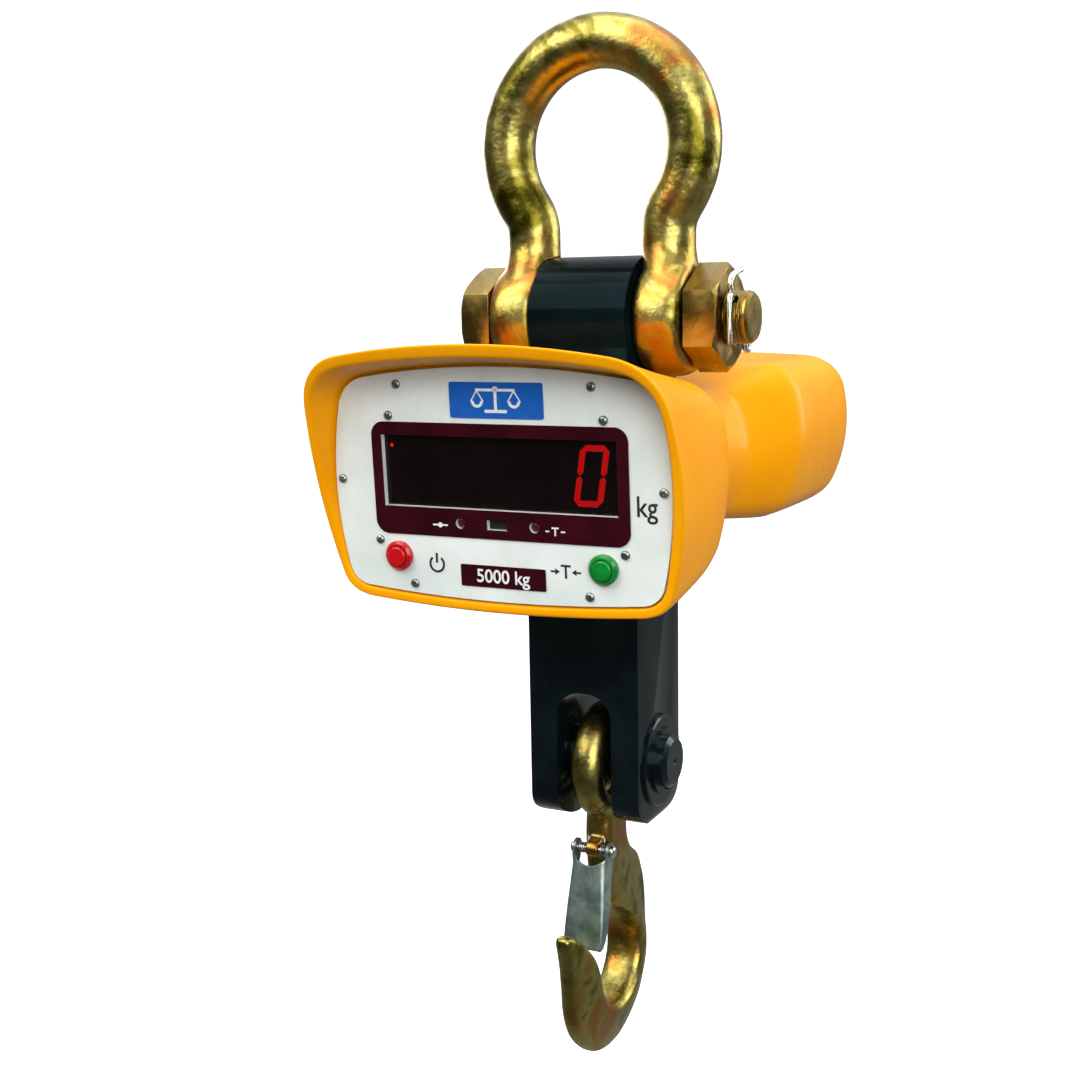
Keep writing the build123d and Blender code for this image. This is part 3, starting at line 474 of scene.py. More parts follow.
def lathe(name, profile, centre, around=72, axis="X"):
    """A turned shape: profile of (along, radius) about an axis through centre, in millimetres."""
    rings = []
    for along, radius in profile:
        ring = []
        for k in range(around):
            a = 2 * math.pi * k / around
            u, v = radius * math.cos(a), radius * math.sin(a)
            local = (along, u, v) if axis == "X" else (u, v, along)
            ring.append(tuple((c + q) * MM for c, q in zip(centre, local)))
        rings.append(ring)
    return grid_mesh(name, rings, profile[0][1] > 1e-6, profile[-1][1] > 1e-6)


# ---------------------------------------------------------------- the stage
def stage():
    """A pale round floor that curves up into a wall on all sides, soft studio lights and a grey surround."""
    floor_z, flat_r, curve = -1600, 3500, 1200
    profile = [(floor_z, 0.0), (floor_z, flat_r)]
    for i in range(1, 13):
        a = math.radians(90 * i / 12)
        profile.append((floor_z + curve - curve * math.cos(a), flat_r + curve * math.sin(a)))
    profile.append((7000, flat_r + curve))
    mesh = lathe("floor", profile, (0, 0, 0), 96, "Z")
    floor = bpy.data.objects.new("floor", mesh)
    scene.collection.objects.link(floor)
    pale = ((0.3, (0.86, 0.86, 0.86)), (0.7, (0.90, 0.90, 0.90)))
    material("floor", pale, 2, 0.0, (0.7, 0.9), 3, ((30, 0.0001),))
    tune("floor", {"Emission Color": (1, 1, 1, 1), "Emission Strength": 0.8})
    mesh.materials.append(LOOKS["floor"])
    floor.visible_glossy = False
    floor.visible_diffuse = False
    for face in mesh.polygons:
        face.use_smooth = True
    for name, place, size, power in (
        ("key", (-1.1, -1.7, 1.5), (2.0, 2.0), 54),
        ("fill", (1.5, -1.9, 0.5), (1.8, 1.8), 50),
        ("top", (0.1, -0.2, 1.9), (2.4, 2.0), 36),
        ("rim", (1.6, 1.5, 0.5), (1.4, 1.8), 28),
        ("back", (-1.5, 1.4, 0.4), (1.0, 1.4), 14),
    ):
        data = bpy.data.lights.new(name, "AREA")
        data.shape = "RECTANGLE"
        data.size, data.size_y = size
        data.energy = power
        lamp_object = bpy.data.objects.new(name, data)
        lamp_object.location = place
        aim = Vector((0, 0, -0.25)) - Vector(place)
        lamp_object.rotation_euler = aim.to_track_quat("-Z", "Y").to_euler()
        scene.collection.objects.link(lamp_object)
    world = bpy.data.worlds.new("world")
    scene.world = world
    world.use_nodes = True
    tree = world.node_tree
    place = tree.nodes.new("ShaderNodeTexCoord")
    parts = tree.nodes.new("ShaderNodeSeparateXYZ")
    span = map_range(tree, -1, 1, 0, 1)
    ramp = tree.nodes.new("ShaderNodeValToRGB")
    stops(
        ramp.color_ramp,
        (
            (0.0, (0.30, 0.30, 0.30)),
            (0.40, (0.16, 0.16, 0.16)),
            (0.50, (0.07, 0.08, 0.08)),
            (0.60, (0.22, 0.23, 0.24)),
            (0.78, (0.75, 0.76, 0.78)),
            (1.0, (1.0, 1.0, 1.0)),
        ),
    )
    tree.links.new(place.outputs["Generated"], parts.inputs["Vector"])
    tree.links.new(parts.outputs["Z"], span.inputs["Value"])
    tree.links.new(span.outputs["Result"], ramp.inputs["Fac"])
    behind = map_range(tree, -0.7, 0.5, 0.35, 1.3)
    tree.links.new(parts.outputs["Y"], behind.inputs["Value"])
    tree.links.new(ramp.outputs["Color"], tree.nodes["Background"].inputs["Color"])
    tree.links.new(behind.outputs["Result"], tree.nodes["Background"].inputs["Strength"])


# ---------------------------------------------------------------- housing
# y, half width at top, middle and bottom, z of top and bottom, fall of the top's crown at its ends, rise of
# the bottom's, radius of the top and the bottom corners
OUTER = [
    (-172, 94.0, 101.8, 90.0, -136.5, -274.5, 8.7, 5.0, 26, 15),
    (-125, 91.5, 99.0, 88.0, -146.0, -273.0, 8.7, 5.0, 25, 15),
    (-88, 90.5, 97.8, 87.5, -152.5, -269.5, 8.0, 6.0, 26, 20),
    (-64, 89.5, 96.2, 86.0, -157.0, -264.5, 7.0, 6.0, 26, 25),
    (-58, 85.0, 92.5, 81.5, -159.5, -260.0, 6.0, 6.0, 24, 23),
    (-50, 75.0, 84.5, 72.0, -163.0, -254.0, 5.0, 5.0, 20, 20),
    (-40, 66.0, 77.5, 64.0, -166.0, -249.0, 4.0, 4.0, 18, 16),
    (-30, 64.0, 75.5, 62.0, -167.0, -247.0, 4.0, 4.0, 18, 16),
    (20, 65.0, 76.5, 63.0, -167.0, -247.0, 4.0, 4.0, 18, 16),
    (30, 70.0, 81.0, 68.0, -164.5, -247.5, 4.0, 4.0, 18, 18),
    (46, 81.0, 91.0, 78.0, -159.0, -249.0, 3.5, 4.0, 20, 19),
    (60, 88.5, 97.5, 84.0, -156.3, -250.0, 3.0, 4.0, 22, 20),
    (130, 91.0, 99.0, 85.0, -155.5, -250.5, 3.0, 4.0, 22, 20),
    (150, 90.0, 97.5, 84.0, -157.0, -249.0, 3.0, 4.0, 22, 20),
    (163, 84.0, 91.0, 79.0, -163.0, -243.0, 3.0, 4.0, 18, 16),
]
HEART_Z = -207.0
AROUND = 288
angles = np.arange(AROUND) * 2 * math.pi / AROUND
facing = np.stack([np.cos(angles), np.sin(angles)], 1)
fine_angles = np.arange(1440) * math.pi / 720
normals = np.stack([np.cos(fine_angles), np.sin(fine_angles)], 1)


def bow(a, m, b, n=40):
    """Points on the shallow curve from a through m to b."""
    a, m, b = (np.array(v, float) for v in (a, m, b))
    pull = 2 * m - (a + b) / 2
    t = np.linspace(0, 1, n)[:, None]
    return (1 - t) ** 2 * a + 2 * t * (1 - t) * pull + t * t * b


def reach(support, shrink=0.0):
    """How far a convex shape of this support reaches along each facing direction."""
    level = np.maximum(normals @ facing.T, 1e-6)
    level[normals @ facing.T <= 0.02] = 1e-9
    return np.min((support - shrink)[:, None] / level, axis=0)


def softened(points, radius):
    """The reach of a convex outline whose corners are rounded to a radius."""
    support = np.max(points @ normals.T, axis=0)
    eroded = reach(support, radius)[:, None] * facing
    return reach(np.max(eroded @ normals.T, axis=0) + radius)


def barrel(sides, top_radius, low_radius):
    """The reach of an outline of four shallow curves, its top and low corners rounded."""
    points = np.concatenate([bow(*side) for side in sides])
    top, low = softened(points, top_radius), softened(points, low_radius)
    return np.where(np.sin(angles) >= 0, top, low)


def section_reach(row):
    """The reach of the housing's section in one row of OUTER."""
    _, top_x, mid_x, low_x, top_z, low_z, crown, belly, top_r, low_r = row
    top_z, low_z = top_z - HEART_Z, low_z - HEART_Z
    mid_z = (top_z + low_z) / 2
    sides = (
        ((-top_x, top_z - crown), (0, top_z), (top_x, top_z - crown)),
        ((top_x, top_z - crown), (mid_x, mid_z), (low_x, low_z + belly)),
        ((low_x, low_z + belly), (0, low_z), (-low_x, low_z + belly)),
        ((-low_x, low_z + belly), (-mid_x, mid_z), (-top_x, top_z - crown)),
    )
    return barrel(sides, top_r, low_r)


def outline_reach(grow):
    """The reach of the front plate's outline, grown outward all round."""
    side, middle = 84 + grow, 91.3 + grow
    top, crown = 49.5 + grow, 57.2 + grow
    low, belly = -53.6 - grow, -58.2 - grow
    sides = (
        ((-side, top), (0, crown), (side, top)),
        ((side, top), (middle, 6), (side, low)),
        ((side, low), (0, belly), (-side, low)),
        ((-side, low), (-middle, 6), (-side, top)),
    )
    return barrel(sides, 18 + grow, 12 + grow)


ROW_Y = np.array([row[0] for row in OUTER], float)
ROW_R = np.array([section_reach(row) for row in OUTER])


def slopes(x, v):
    """Slopes that keep a curve through v smooth and without overshoot."""
    h = np.diff(x)[:, None]
    d = np.diff(v, axis=0) / h
    m = np.zeros_like(v)
    m[0], m[-1] = d[0], d[-1]
    w1 = 2 * h[1:] + h[:-1]
    w2 = h[1:] + 2 * h[:-1]
    same = d[:-1] * d[1:] > 0
    with np.errstate(divide="ignore", invalid="ignore"):
        mean = (w1 + w2) / (w1 / d[:-1] + w2 / d[1:])
    m[1:-1] = np.where(same, mean, 0)
    return m


ROW_M = slopes(ROW_Y, ROW_R)


def outer_reach(y):
    """The housing's reach along each facing direction, at one y for each."""
    y = np.broadcast_to(np.array(y, float), (AROUND,))
    i = np.clip(np.searchsorted(ROW_Y, y) - 1, 0, len(ROW_Y) - 2)
    c = np.arange(AROUND)
    h = ROW_Y[i + 1] - ROW_Y[i]
    t = np.clip((y - ROW_Y[i]) / h, 0, 1)
    return (
        (2 * t**3 - 3 * t**2 + 1) * ROW_R[i, c]
        + (t**3 - 2 * t**2 + t) * h * ROW_M[i, c]
        + (3 * t**2 - 2 * t**3) * ROW_R[i + 1, c]
        + (t**3 - t**2) * h * ROW_M[i + 1, c]
    )


def outer_points(y, shrink=0.0):
    """Points of the housing's surface, drawn inward by shrink."""
    r = outer_reach(y) - shrink
    y = np.broadcast_to(np.array(y, float), (AROUND,))
    return np.stack([r * facing[:, 0], y, HEART_Z + r * facing[:, 1]], 1)


def visor(up):
    """How far the hood stands in front of the plate at a height on it."""
    return 26 * np.maximum(0.0, (up + 64.4) / 134.1) ** 1.8


def on_panel(x, up, out):
    """A point in the plate's own frame, in the row frame."""
    return np.stack(
        [
            x,
            PANEL_Y - up * math.sin(TILT) - out * math.cos(TILT),
            PANEL_Z + up * math.cos(TILT) - out * math.sin(TILT),
        ],
        -1,
    )


def bisect(rule, low, high):
    """Where a rule changes sign, for all directions at once."""
    low, high = np.full(AROUND, float(low)), np.full(AROUND, float(high))
    for _ in range(34):
        middle = (low + high) / 2
        positive = rule(middle) > 0
        low = np.where(positive, middle, low)
        high = np.where(positive, high, middle)
    return (low + high) / 2


def in_front(y):
    """How far the outer surface at y still stands in front of the visor's edge."""
    p = outer_points(y)
    v, w = p[:, 1] - PANEL_Y, p[:, 2] - PANEL_Z
    up = -v * math.sin(TILT) + w * math.cos(TILT)
    out = -v * math.cos(TILT) - w * math.sin(TILT)
    return out - visor(up)


GROW_0, GROW_RATE = outline_reach(0.6), (outline_reach(12) - outline_reach(0.6)) / 54


def hood_points(depth):
    """The hood's inner surface at one depth for each direction."""
    r = GROW_0 + GROW_RATE * (depth + 4)
    return on_panel(r * facing[:, 0], r * facing[:, 1], depth)


def unit(v):
    """Each row at length 1."""
    return v / np.linalg.norm(v, axis=1)[:, None]


def open_socket(mesh):
    """Clears the wall behind the charge socket's flange, so that its bore is open."""
    shell = bmesh.new()
    shell.from_mesh(mesh)
    gone = []
    for face in shell.faces:
        x, y, z = face.calc_center_median()
        if x < -90 * MM and math.hypot(y - SOCKET_Y * MM, z - SOCKET_Z * MM) < 5.5 * MM:
            gone.append(face)
    bmesh.ops.delete(shell, geom=gone, context="FACES")
    shell.to_mesh(mesh)
    shell.free()


def housing():
    """The shell: hood, rim, outside and back, in rings from the front plate's ledge to the rear cover."""
    edge, ledge_depth = 1.7, -4.0
    back_start, back_end, back_in = 151, 163, 6.0
    rim_y = bisect(in_front, -185, -95)
    rim_out = outer_points(rim_y)
    rim_depth = bisect(lambda d: -(d - visor((GROW_0 + GROW_RATE * (d + 4)) * facing[:, 1])), -3, 45)
    rim_in = hood_points(rim_depth)
    to_front_out = unit(rim_out - outer_points(rim_y + 2))
    to_front_in = unit(rim_in - hood_points(rim_depth - 2))
    across = unit(rim_in - rim_out)
    heart = on_panel(np.zeros(1), np.zeros(1), np.full(1, ledge_depth))
    rings = [heart + (hood_points(np.full(AROUND, ledge_depth)) - heart) * 0.91]
    for share in (0, 0.03, 0.12, 0.3, 0.5, 0.75, 1):
        rings.append(hood_points(ledge_depth + (rim_depth - 2 * edge - ledge_depth) * share))
    for a in np.linspace(0, math.pi / 2, 6):
        rings.append(rim_in + to_front_in * edge * (math.sin(a) - 1) - across * edge * (1 - math.cos(a)))
    for a in np.linspace(math.pi / 2, 0, 6):
        rings.append(rim_out + to_front_out * edge * (math.sin(a) - 1) + across * edge * (1 - math.cos(a)))
    start, shared = rim_y + 2 * edge, -108.0
    for share in (0.06, 0.2, 0.4, 0.6, 0.8, 1):
        rings.append(outer_points(start + (shared - start) * share))
    for y in np.concatenate([np.arange(-104, -90, 4), np.arange(-90, back_start, 2.5)]):
        rings.append(outer_points(y))
    for a in np.linspace(0, math.pi / 2, 9):
        y = back_start + (back_end - back_start) * math.sin(a)
        rings.append(outer_points(y, back_in * (1 - math.cos(a)) ** 1.1))
    last = outer_points(back_end, back_in)
    centre = np.array([0, back_end, -203.0])
    for share in (0.985, 0.9, 0.6):
        rings.append(centre + (last - centre) * share)
    mesh = grid_mesh("housing_shell", [ring * MM for ring in rings], False, True)
    open_socket(mesh)
    piece("housing_shell", mesh, "scale_body", "orange_enamel", ["housing"])


# ---------------------------------------------------------------- shackle
BAR, BOW_R, LEG_X = 29.0, 54.6, 40.0


def shackle():
    """The forged bow: a round bar, flat round ears and a swelling between them, made one and smoothed."""
    bend = math.radians(35)
    bow_z = BAR / 2 - BOW_R
    leg_bend = (BOW_R * math.cos(bend) - LEG_X) / (1 - math.cos(bend))
    leg_top = bow_z - (BOW_R + leg_bend) * math.sin(bend)
    half = []
    for a in np.linspace(90, -35, 30):
        half.append((BOW_R * math.cos(math.radians(a)), 0, bow_z + BOW_R * math.sin(math.radians(a))))
    for a in np.linspace(35, 0, 9)[1:]:
        t = math.radians(a)
        half.append((LEG_X + leg_bend * (1 - math.cos(t)), 0, leg_top + leg_bend * math.sin(t)))
    for z in np.linspace(leg_top, -112, 7)[1:]:
        half.append((LEG_X, 0, z))
    left = [(-x, y, z) for x, y, z in half[::-1]]
    path = np.array(left[:-1] + half)
    bits = [sweep("bar", path, BAR / 2, 40)]
    ear = (
        (29, 0), (29, 25.5), (29.8, 28.2), (32, 30.0), (36, 31.0), (42.5, 31.4), (49, 30.9), (53, 29.6),
        (55.3, 27.4), (56, 24.5), (56, 0),
    )
    swelling = (
        (-88, 40, 13.6, 13.6), (-97, 40.3, 14.3, 15.6), (-105, 41.2, 14.2, 19.6), (-113, 42.0, 13.9, 24),
        (-121, 42.4, 13.5, 27.6), (-128, 42.5, 13.3, 28.5),
    )
    turns = [2 * math.pi * k / 40 for k in range(40)]
    for side in (-1, 1):
        bits.append(lathe("ear", [(side * x, r) for x, r in ear], (0, 0, BOLT_Z)))
        rings = []
        for z, cx, hx, hy in swelling:
            cx *= side
            rings.append([((cx + hx * math.cos(a)) * MM, hy * math.sin(a) * MM, z * MM) for a in turns])
        bits.append(grid_mesh("blend", rings, True, True))
    mesh = baked(joined("shackle_forging", bits), [
        ("REMESH", {"mode": "VOXEL", "voxel_size": 0.0011}),
        ("SMOOTH", {"factor": 0.5, "iterations": 14}),
    ])
    roughened(mesh, ((55, 0.00022), (160, 0.00008)))
    mesh = carve(mesh, [
        lathe("bore", ((-70, 16.2), (70, 16.2)), (0, 0, BOLT_Z)),
        lathe("relief", ((-29, 34.3), (29, 34.3)), (0, 0, BOLT_Z), 128),
    ])
    piece("shackle_forging", mesh, "shackle", "yellow_zinc_forging", ["shackle_bow"], angle=40)


def hexagon(name, inner, outer, hole=0):
    """A hex head or nut along X from its seat to its outer face, whose corners are turned to a cone."""
    corner, cut, slope = HEX_FLAT / math.cos(math.radians(30)), 3.3, 0.55
    turns = [math.radians(60 * i + 30) for i in range(6)]
    points = [(corner * math.cos(a), BOLT_Z + corner * math.sin(a)) for a in turns]
    low, high = sorted((inner, outer))
    out = math.copysign(1, outer)
    start, tip = inner - out, corner - cut
    profile = ((start, tip + abs(outer - start) / slope), (outer, tip), (outer + 0.01 * out, 0.0))
    turned = lathe("turned", profile, (0, 0, BOLT_Z), 96)
    mesh = carve(plate(name, points, low, high, YZ), [turned], keep=True)
    if hole:
        mesh = carve(mesh, [lathe("hole", ((low - 2, hole), (high + 2, hole)), (0, 0, BOLT_Z), 64)])
    return baked(mesh, [crease_bevel(0.0007, 28)])


def bolt():
    """Head, nut and the shank with its threaded end, cross-drilled for the cotter pin."""
    for name, node, mesh in (
        ("bolt_head", "shackle_bolt", hexagon("bolt_head", -57, -74)),
        ("castle_nut", "shackle_nut", hexagon("castle_nut", 57.2, 74.7, 14.0)),
    ):
        piece(name, mesh, "shackle", "yellow_zinc_machined", [node], angle=35)
    thread = [(-60, 0.0), (-60, 16.0), (56, 16.0), (57, 13.2)]
    x = 57.2
    while x < 84.5:
        thread += [(x, 13.1), (x + 1.0, 14.0), (x + 1.2, 14.0)]
        x += 2.2
    thread += [(85.2, 13.6), (86.4, 13.6), (88, 12.0), (88, 0.0)]
    mesh = lathe("bolt_shank", thread, (0, 0, BOLT_Z), 96)
    drop, rise = 24 * math.cos(PIN_LEAN), 24 * math.sin(PIN_LEAN)
    run = np.array([(COTTER_X, -drop, BOLT_Z + rise), (COTTER_X, drop, BOLT_Z - rise)])
    mesh = carve(mesh, [sweep("hole", run, 3.2, 32)])
    piece("bolt_shank", mesh, "shackle", "yellow_zinc_machined", angle=35)


def cotter():
    """A split pin: an eye behind the bolt, two legs through it, one bent down and one over the top."""
    run = np.array((0, math.cos(PIN_LEAN), -math.sin(PIN_LEAN)))
    up = np.array((0, math.sin(PIN_LEAN), math.cos(PIN_LEAN)))
    middle = np.array((COTTER_X, 0, BOLT_Z))
    eye, eye_r = middle + run * 20.0, 3.9
    down = (
        (79.0, -13.2, -120.3), (79.1, -15.2, -121.6), (79.3, -15.9, -125.0), (79.5, -16.0, -132.0),
        (79.5, -15.8, -139.0), (79.3, -15.2, -145.5),
    )
    over = (
        (79.0, -13.0, -117.2), (79.0, -13.8, -114.0), (79.4, -11.6, -110.6), (80.6, -7.4, -108.4),
        (81.8, -4.0, -107.2),
    )
    legs = []
    for side, tail in ((-1, down), (1, over)):
        path = []
        for a in np.radians(np.linspace(2, 150, 12)):
            path.append(eye + run * eye_r * math.cos(a) + up * side * eye_r * math.sin(a))
        path += [middle + run * d + up * side * 1.25 for d in (15.5, 10, 0, -10, -13.5)]
        path += [np.array(p) for p in tail]
        legs.append(sweep("leg", smooth_path(path, 4), 1.55, 16))
    piece("cotter_wire", joined("cotter_wire", legs), "shackle", "bright_zinc", ["cotter_pin"])


# ---------------------------------------------------------------- load cell and clevis
def load_cell():
    """The black block: a straight body under a round eye for the bolt."""
    half, eye_r, bottom, shoulder = 30, 33.5, -226, -147
    outline = [(half, bottom), (half, shoulder)]
    start = math.degrees(math.atan2(-14.9, half))
    for a in np.linspace(start, 180 - start, 49):
        outline.append((eye_r * math.cos(math.radians(a)), BOLT_Z + eye_r * math.sin(math.radians(a))))
    outline += [(-half, shoulder), (-half, bottom)]
    mesh = plate("load_block", outline, -28, 28, YZ, 2.0, 4)
    mesh = carve(mesh, [lathe("bore", ((-40, 16.15), (40, 16.15)), (0, 0, BOLT_Z), 64)])
    # the load block wears the darker copy of the black enamel, painted shade between the shackle's ears
    piece("load_block", mesh, "scale_body", "black_enamel", ["load_cell"], "black_block_painted_shade", angle=32)


def clevis():
    """The fork: two straight cheeks with rounded lower ends, slotted, bored and counterbored."""
    half, half_deep, foot = 32.9, 30.4, 24.5
    side = [(half_deep, -226)]
    for t in np.linspace(0, 1, 8):
        side.append((half_deep - 5.9 * t * t, -397.5 - 13.0 * t * (1 - t) - 10.5 * t * t))
    low = [(y, -415.7 + 7.7 * (y / foot) ** 2) for y in np.linspace(foot, -foot, 17)]
    outline = [(-half_deep, -226)] + side + low[1:-1] + [(-y, z) for y, z in side[:0:-1]]
    mesh = plate("hook_fork", outline, -half, half, YZ)
    slot = rounded([(-16.5, -440), (16.5, -440), (16.5, -337), (-16.5, -337)], [0, 0, 14, 14], 12)
    face = rounded([(-half, -200), (-half, -415.8), (half, -415.8), (half, -200)], [0, 7, 7, 0], 8)
    mesh = carve(mesh, [plate("face", face, -60, 60, XZ)], keep=True)
    mesh = carve(mesh, [
        plate("slot", slot, -60, 60, XZ),
        lathe("hole", ((-50, 15.1), (50, 15.1)), CLEVIS_PIN, 64),
        lathe("counterbore", ((-50, 19.1), (-28.9, 19.1)), CLEVIS_PIN, 64),
    ])
    mesh = baked(mesh, [crease_bevel(0.0011, 40)])
    piece("hook_fork", mesh, "scale_body", "black_enamel", ["hook_clevis"], angle=35)


# ---------------------------------------------------------------- hook
EYE_Z, EYE_R, EYE_BAR = -382.7, 26.2, 7.8


def on_circle(y, z, radius, degrees):
    """A point on a circle about (y, z)."""
    a = math.radians(degrees)
    return y + radius * math.cos(a), z + radius * math.sin(a)


def hook():
    """A forged hook: stations down the shank and round the bowl to the point, an eye and the latch's lug."""
    # inner y and z, outer y and z, half width at the inner and at the outer side
    stations = [
        (-13.6, -404, 13.6, -404, 8.6, 8.6),
        (-14.4, -418, 14.2, -418, 9.2, 9.0),
        (-14.6, -430, 15.0, -430, 9.5, 8.8),
        (-14.2, -443, 21.5, -441, 9.6, 8.3),
        (-10.6, -458, 35.8, -451, 9.9, 7.0),
        (-4.8, -468.5, 42.6, -461.5, 10.8, 6.3),
        (3.4, -475.2, 46.8, -474, 12.4, 6.0),
    ]
    bowl = ((50, 14), (15, -8), (-18, -26), (-48, -50), (-80, -79), (-110, -107), (-138, -134), (-162, -158))
    for inner, outer in bowl:
        half = 14.6 if -150 < inner < 30 else 13.9
        stations.append((*on_circle(-3.5, -502, 25.7, inner), *on_circle(-4, -504, 52.4, outer), half, 5.6))
    stations += [
        (-30.4, -501, -56.0, -503, 13.3, 5.5),
        (-33.8, -491.5, -58.0, -487.0, 12.0, 5.4),
        (-39.0, -483.8, -60.6, -477.6, 10.0, 5.2),
        (-45.8, -476.8, -62.5, -472.0, 7.8, 5.0),
        (-52.0, -471.2, -61.8, -468.8, 5.4, 4.4),
        (-56.6, -468.2, -59.0, -467.7, 2.2, 2.2),
    ]
    rings = []
    for inner_y, inner_z, outer_y, outer_z, inner_w, outer_w in smooth_path(stations, 5):
        ring = []
        for k in range(40):
            a = 2 * math.pi * k / 40
            c, s = math.cos(a), math.sin(a)
            t = 0.5 - 0.5 * math.copysign(abs(c) ** 0.62, c)
            w = (inner_w + (outer_w - inner_w) * t) * math.copysign(abs(s) ** 0.55, s)
            y, z = inner_y + (outer_y - inner_y) * t, inner_z + (outer_z - inner_z) * t
            ring.append((w * MM, y * MM, z * MM))
        rings.append(ring)
    bits = [grid_mesh("body", rings, True, True)]
    rings = []
    for k in range(73):
        a = 2 * math.pi * k / 72
        ring = []
        for j in range(28):
            t = 2 * math.pi * j / 28
            r = EYE_R + EYE_BAR * math.cos(t)
            ring.append((9.5 * math.sin(t) * MM, r * math.cos(a) * MM, (EYE_Z + r * math.sin(a)) * MM))
        rings.append(ring)
    bits.append(grid_mesh("eye", rings))
    bits.append(lathe("lug", ((-4, 0), (-4, 4.2), (4, 4.2), (4, 0)), RIVET))
    bits.append(plate("web", [(-21, -435.2), (-10, -438), (-10, -424), (-21, -426.8)], -4, 4, YZ))
    mesh = baked(joined("hook_forging", bits), [
        ("REMESH", {"mode": "VOXEL", "voxel_size": 0.0009}),
        ("SMOOTH", {"factor": 0.5, "iterations": 8}),
    ])
    roughened(mesh, ((70, 0.00025), (190, 0.00009)))
    mesh = carve(mesh, [lathe("rivet_hole", ((-9, 2.05), (9, 2.05)), RIVET, 32)])
    piece("hook_forging", mesh, "hook", "yellow_zinc_forging", ["load_hook"], angle=50)


LEAN = math.radians(12)
ALONG = Vector((0, -math.sin(LEAN), -math.cos(LEAN)))
FRONT = Vector((0, -math.cos(LEAN), math.sin(LEAN)))
LATCH = axes(RIVET, Vector((1, 0, 0)), ALONG, FRONT)
LATCH_SIDE = axes(RIVET, ALONG, FRONT, Vector((1, 0, 0)))


def latch():
    """Folded sheet: a tapering tongue with turned-back sides and two round ears on the rivet."""
    # distance below the rivet, half width, how far back the sides reach, fold's radius, dip of the middle
    rows = (
        (3.6, 10.2, 0.5, 3.4, 5.5), (5.5, 10.2, -2.2, 3.5, 4.6), (8.5, 10.3, -3.4, 3.6, 3.0),
        (13, 10.5, -3.4, 3.4, 1.2), (20, 10.8, -3.0, 3.1, 0), (32, 11.4, -1.9, 2.6, 0),
        (44, 11.8, -0.2, 2.2, 0), (50, 11.8, 1.6, 2.0, 0), (54, 11.4, 3.4, 1.6, 0), (55.8, 10.4, 4.5, 0.7, 0),
    )
    face = 5.4
    rings = []
    for down, w, back, fold, dip in rows:
        side = [(w, back), (w, (back + face - fold) / 2), (w, face - fold)]
        for a in np.linspace(0, math.pi / 2, 7)[1:]:
            side.append((w - fold + fold * math.cos(a), face - fold + fold * math.sin(a)))
        line = [(-x, f) for x, f in side]
        line += [(x * (w - fold) / 3, face) for x in (-2, -1, 0, 1, 2)]
        line += side[::-1]
        ring = [(x, down + dip * (1 - (x / w) ** 2), f) for x, f in line]
        rings.append([LATCH @ Vector((x * MM, y * MM, f * MM)) for x, y, f in ring])
    sheet = grid_mesh("tongue", rings, closed=False)
    bits = [baked(sheet, [("SOLIDIFY", {"thickness": 0.0015, "offset": 0.0}), crease_bevel(0.0003, 50, 2)])]
    turns = [math.radians(a) for a in np.linspace(70, 285, 26)]
    ear = [(6.5, -4.0), (9.5, -3.2), (9.5, 2.0), (7.5, 3.2), (5.0, 4.6)]
    ear += [(5.0 * math.cos(a), 5.0 * math.sin(a)) for a in turns]
    for side in (-1, 1):
        low, high = sorted((side * 9.4, side * 11.0))
        shape = plate("ear", ear, low, high, LATCH_SIDE, 0.35, 2)
        bits.append(carve(shape, [lathe("hole", ((-14, 2.05), (14, 2.05)), RIVET, 32)]))
    mesh = joined("latch_sheet", bits)
    piece("latch_sheet", mesh, "latch", "bright_zinc", ["safety_latch"], "latch_zinc", angle=40)


def rivet():
    """The latch's rivet and the two coils of its spring."""
    profile = [(-13.9, 0), (-13.7, 1.6), (-13.1, 2.9), (-12.2, 3.4), (-11.4, 3.4), (-11.4, 2.0)]
    profile += [(-x, r) for x, r in profile[::-1]]
    mesh = lathe("latch_rivet", profile, RIVET, 40)
    piece("latch_rivet", mesh, "hook", "bright_zinc", ["latch_pin"], angle=40)
    wires = []
    for side in (-1, 1):
        path = [(side * 5.0, -13.4, -424.0), (side * 5.0, -14.6, -427.4), (side * 4.9, -16.3, -430.4)]
        for k in range(53):
            y, z = on_circle(RIVET[1], RIVET[2], 2.62, 15 + 360 * k / 16)
            path.append((side * (4.9 + 3.6 * k / 52), y, z))
        wires.append(sweep("wire", path, 0.52, 10))
    piece("spring_wire", joined("spring_wire", wires), "hook", "spring_steel", ["latch_spring"])


# ---------------------------------------------------------------- the front
def merged(name, shapes, low, high, look, slot):
    """Flat shapes on the front plate, from low to high above it, as one piece."""
    meshes = [plate(name, shape, low, high, PANEL) for shape in shapes]
    piece(name, joined(name, meshes), "scale_body", slot, look=look, smooth=False)


def bar(x0, y0, x1, y1, wide):
    """A straight stroke with square ends."""
    a, b = Vector((x0, y0)), Vector((x1, y1))
    n = (b - a).normalized().orthogonal() * wide / 2
    return [tuple(a + n), tuple(a - n), tuple(b - n), tuple(b + n)]


def arc_stroke(cx, cy, r, start, end, wide):
    """A round stroke between two directions in degrees."""
    turns = [math.radians(a) for a in np.linspace(start, end, 24)]
    out = [(cx + (r + wide / 2) * math.cos(a), cy + (r + wide / 2) * math.sin(a)) for a in turns]
    out += [(cx + (r - wide / 2) * math.cos(a), cy + (r - wide / 2) * math.sin(a)) for a in turns[::-1]]
    return out


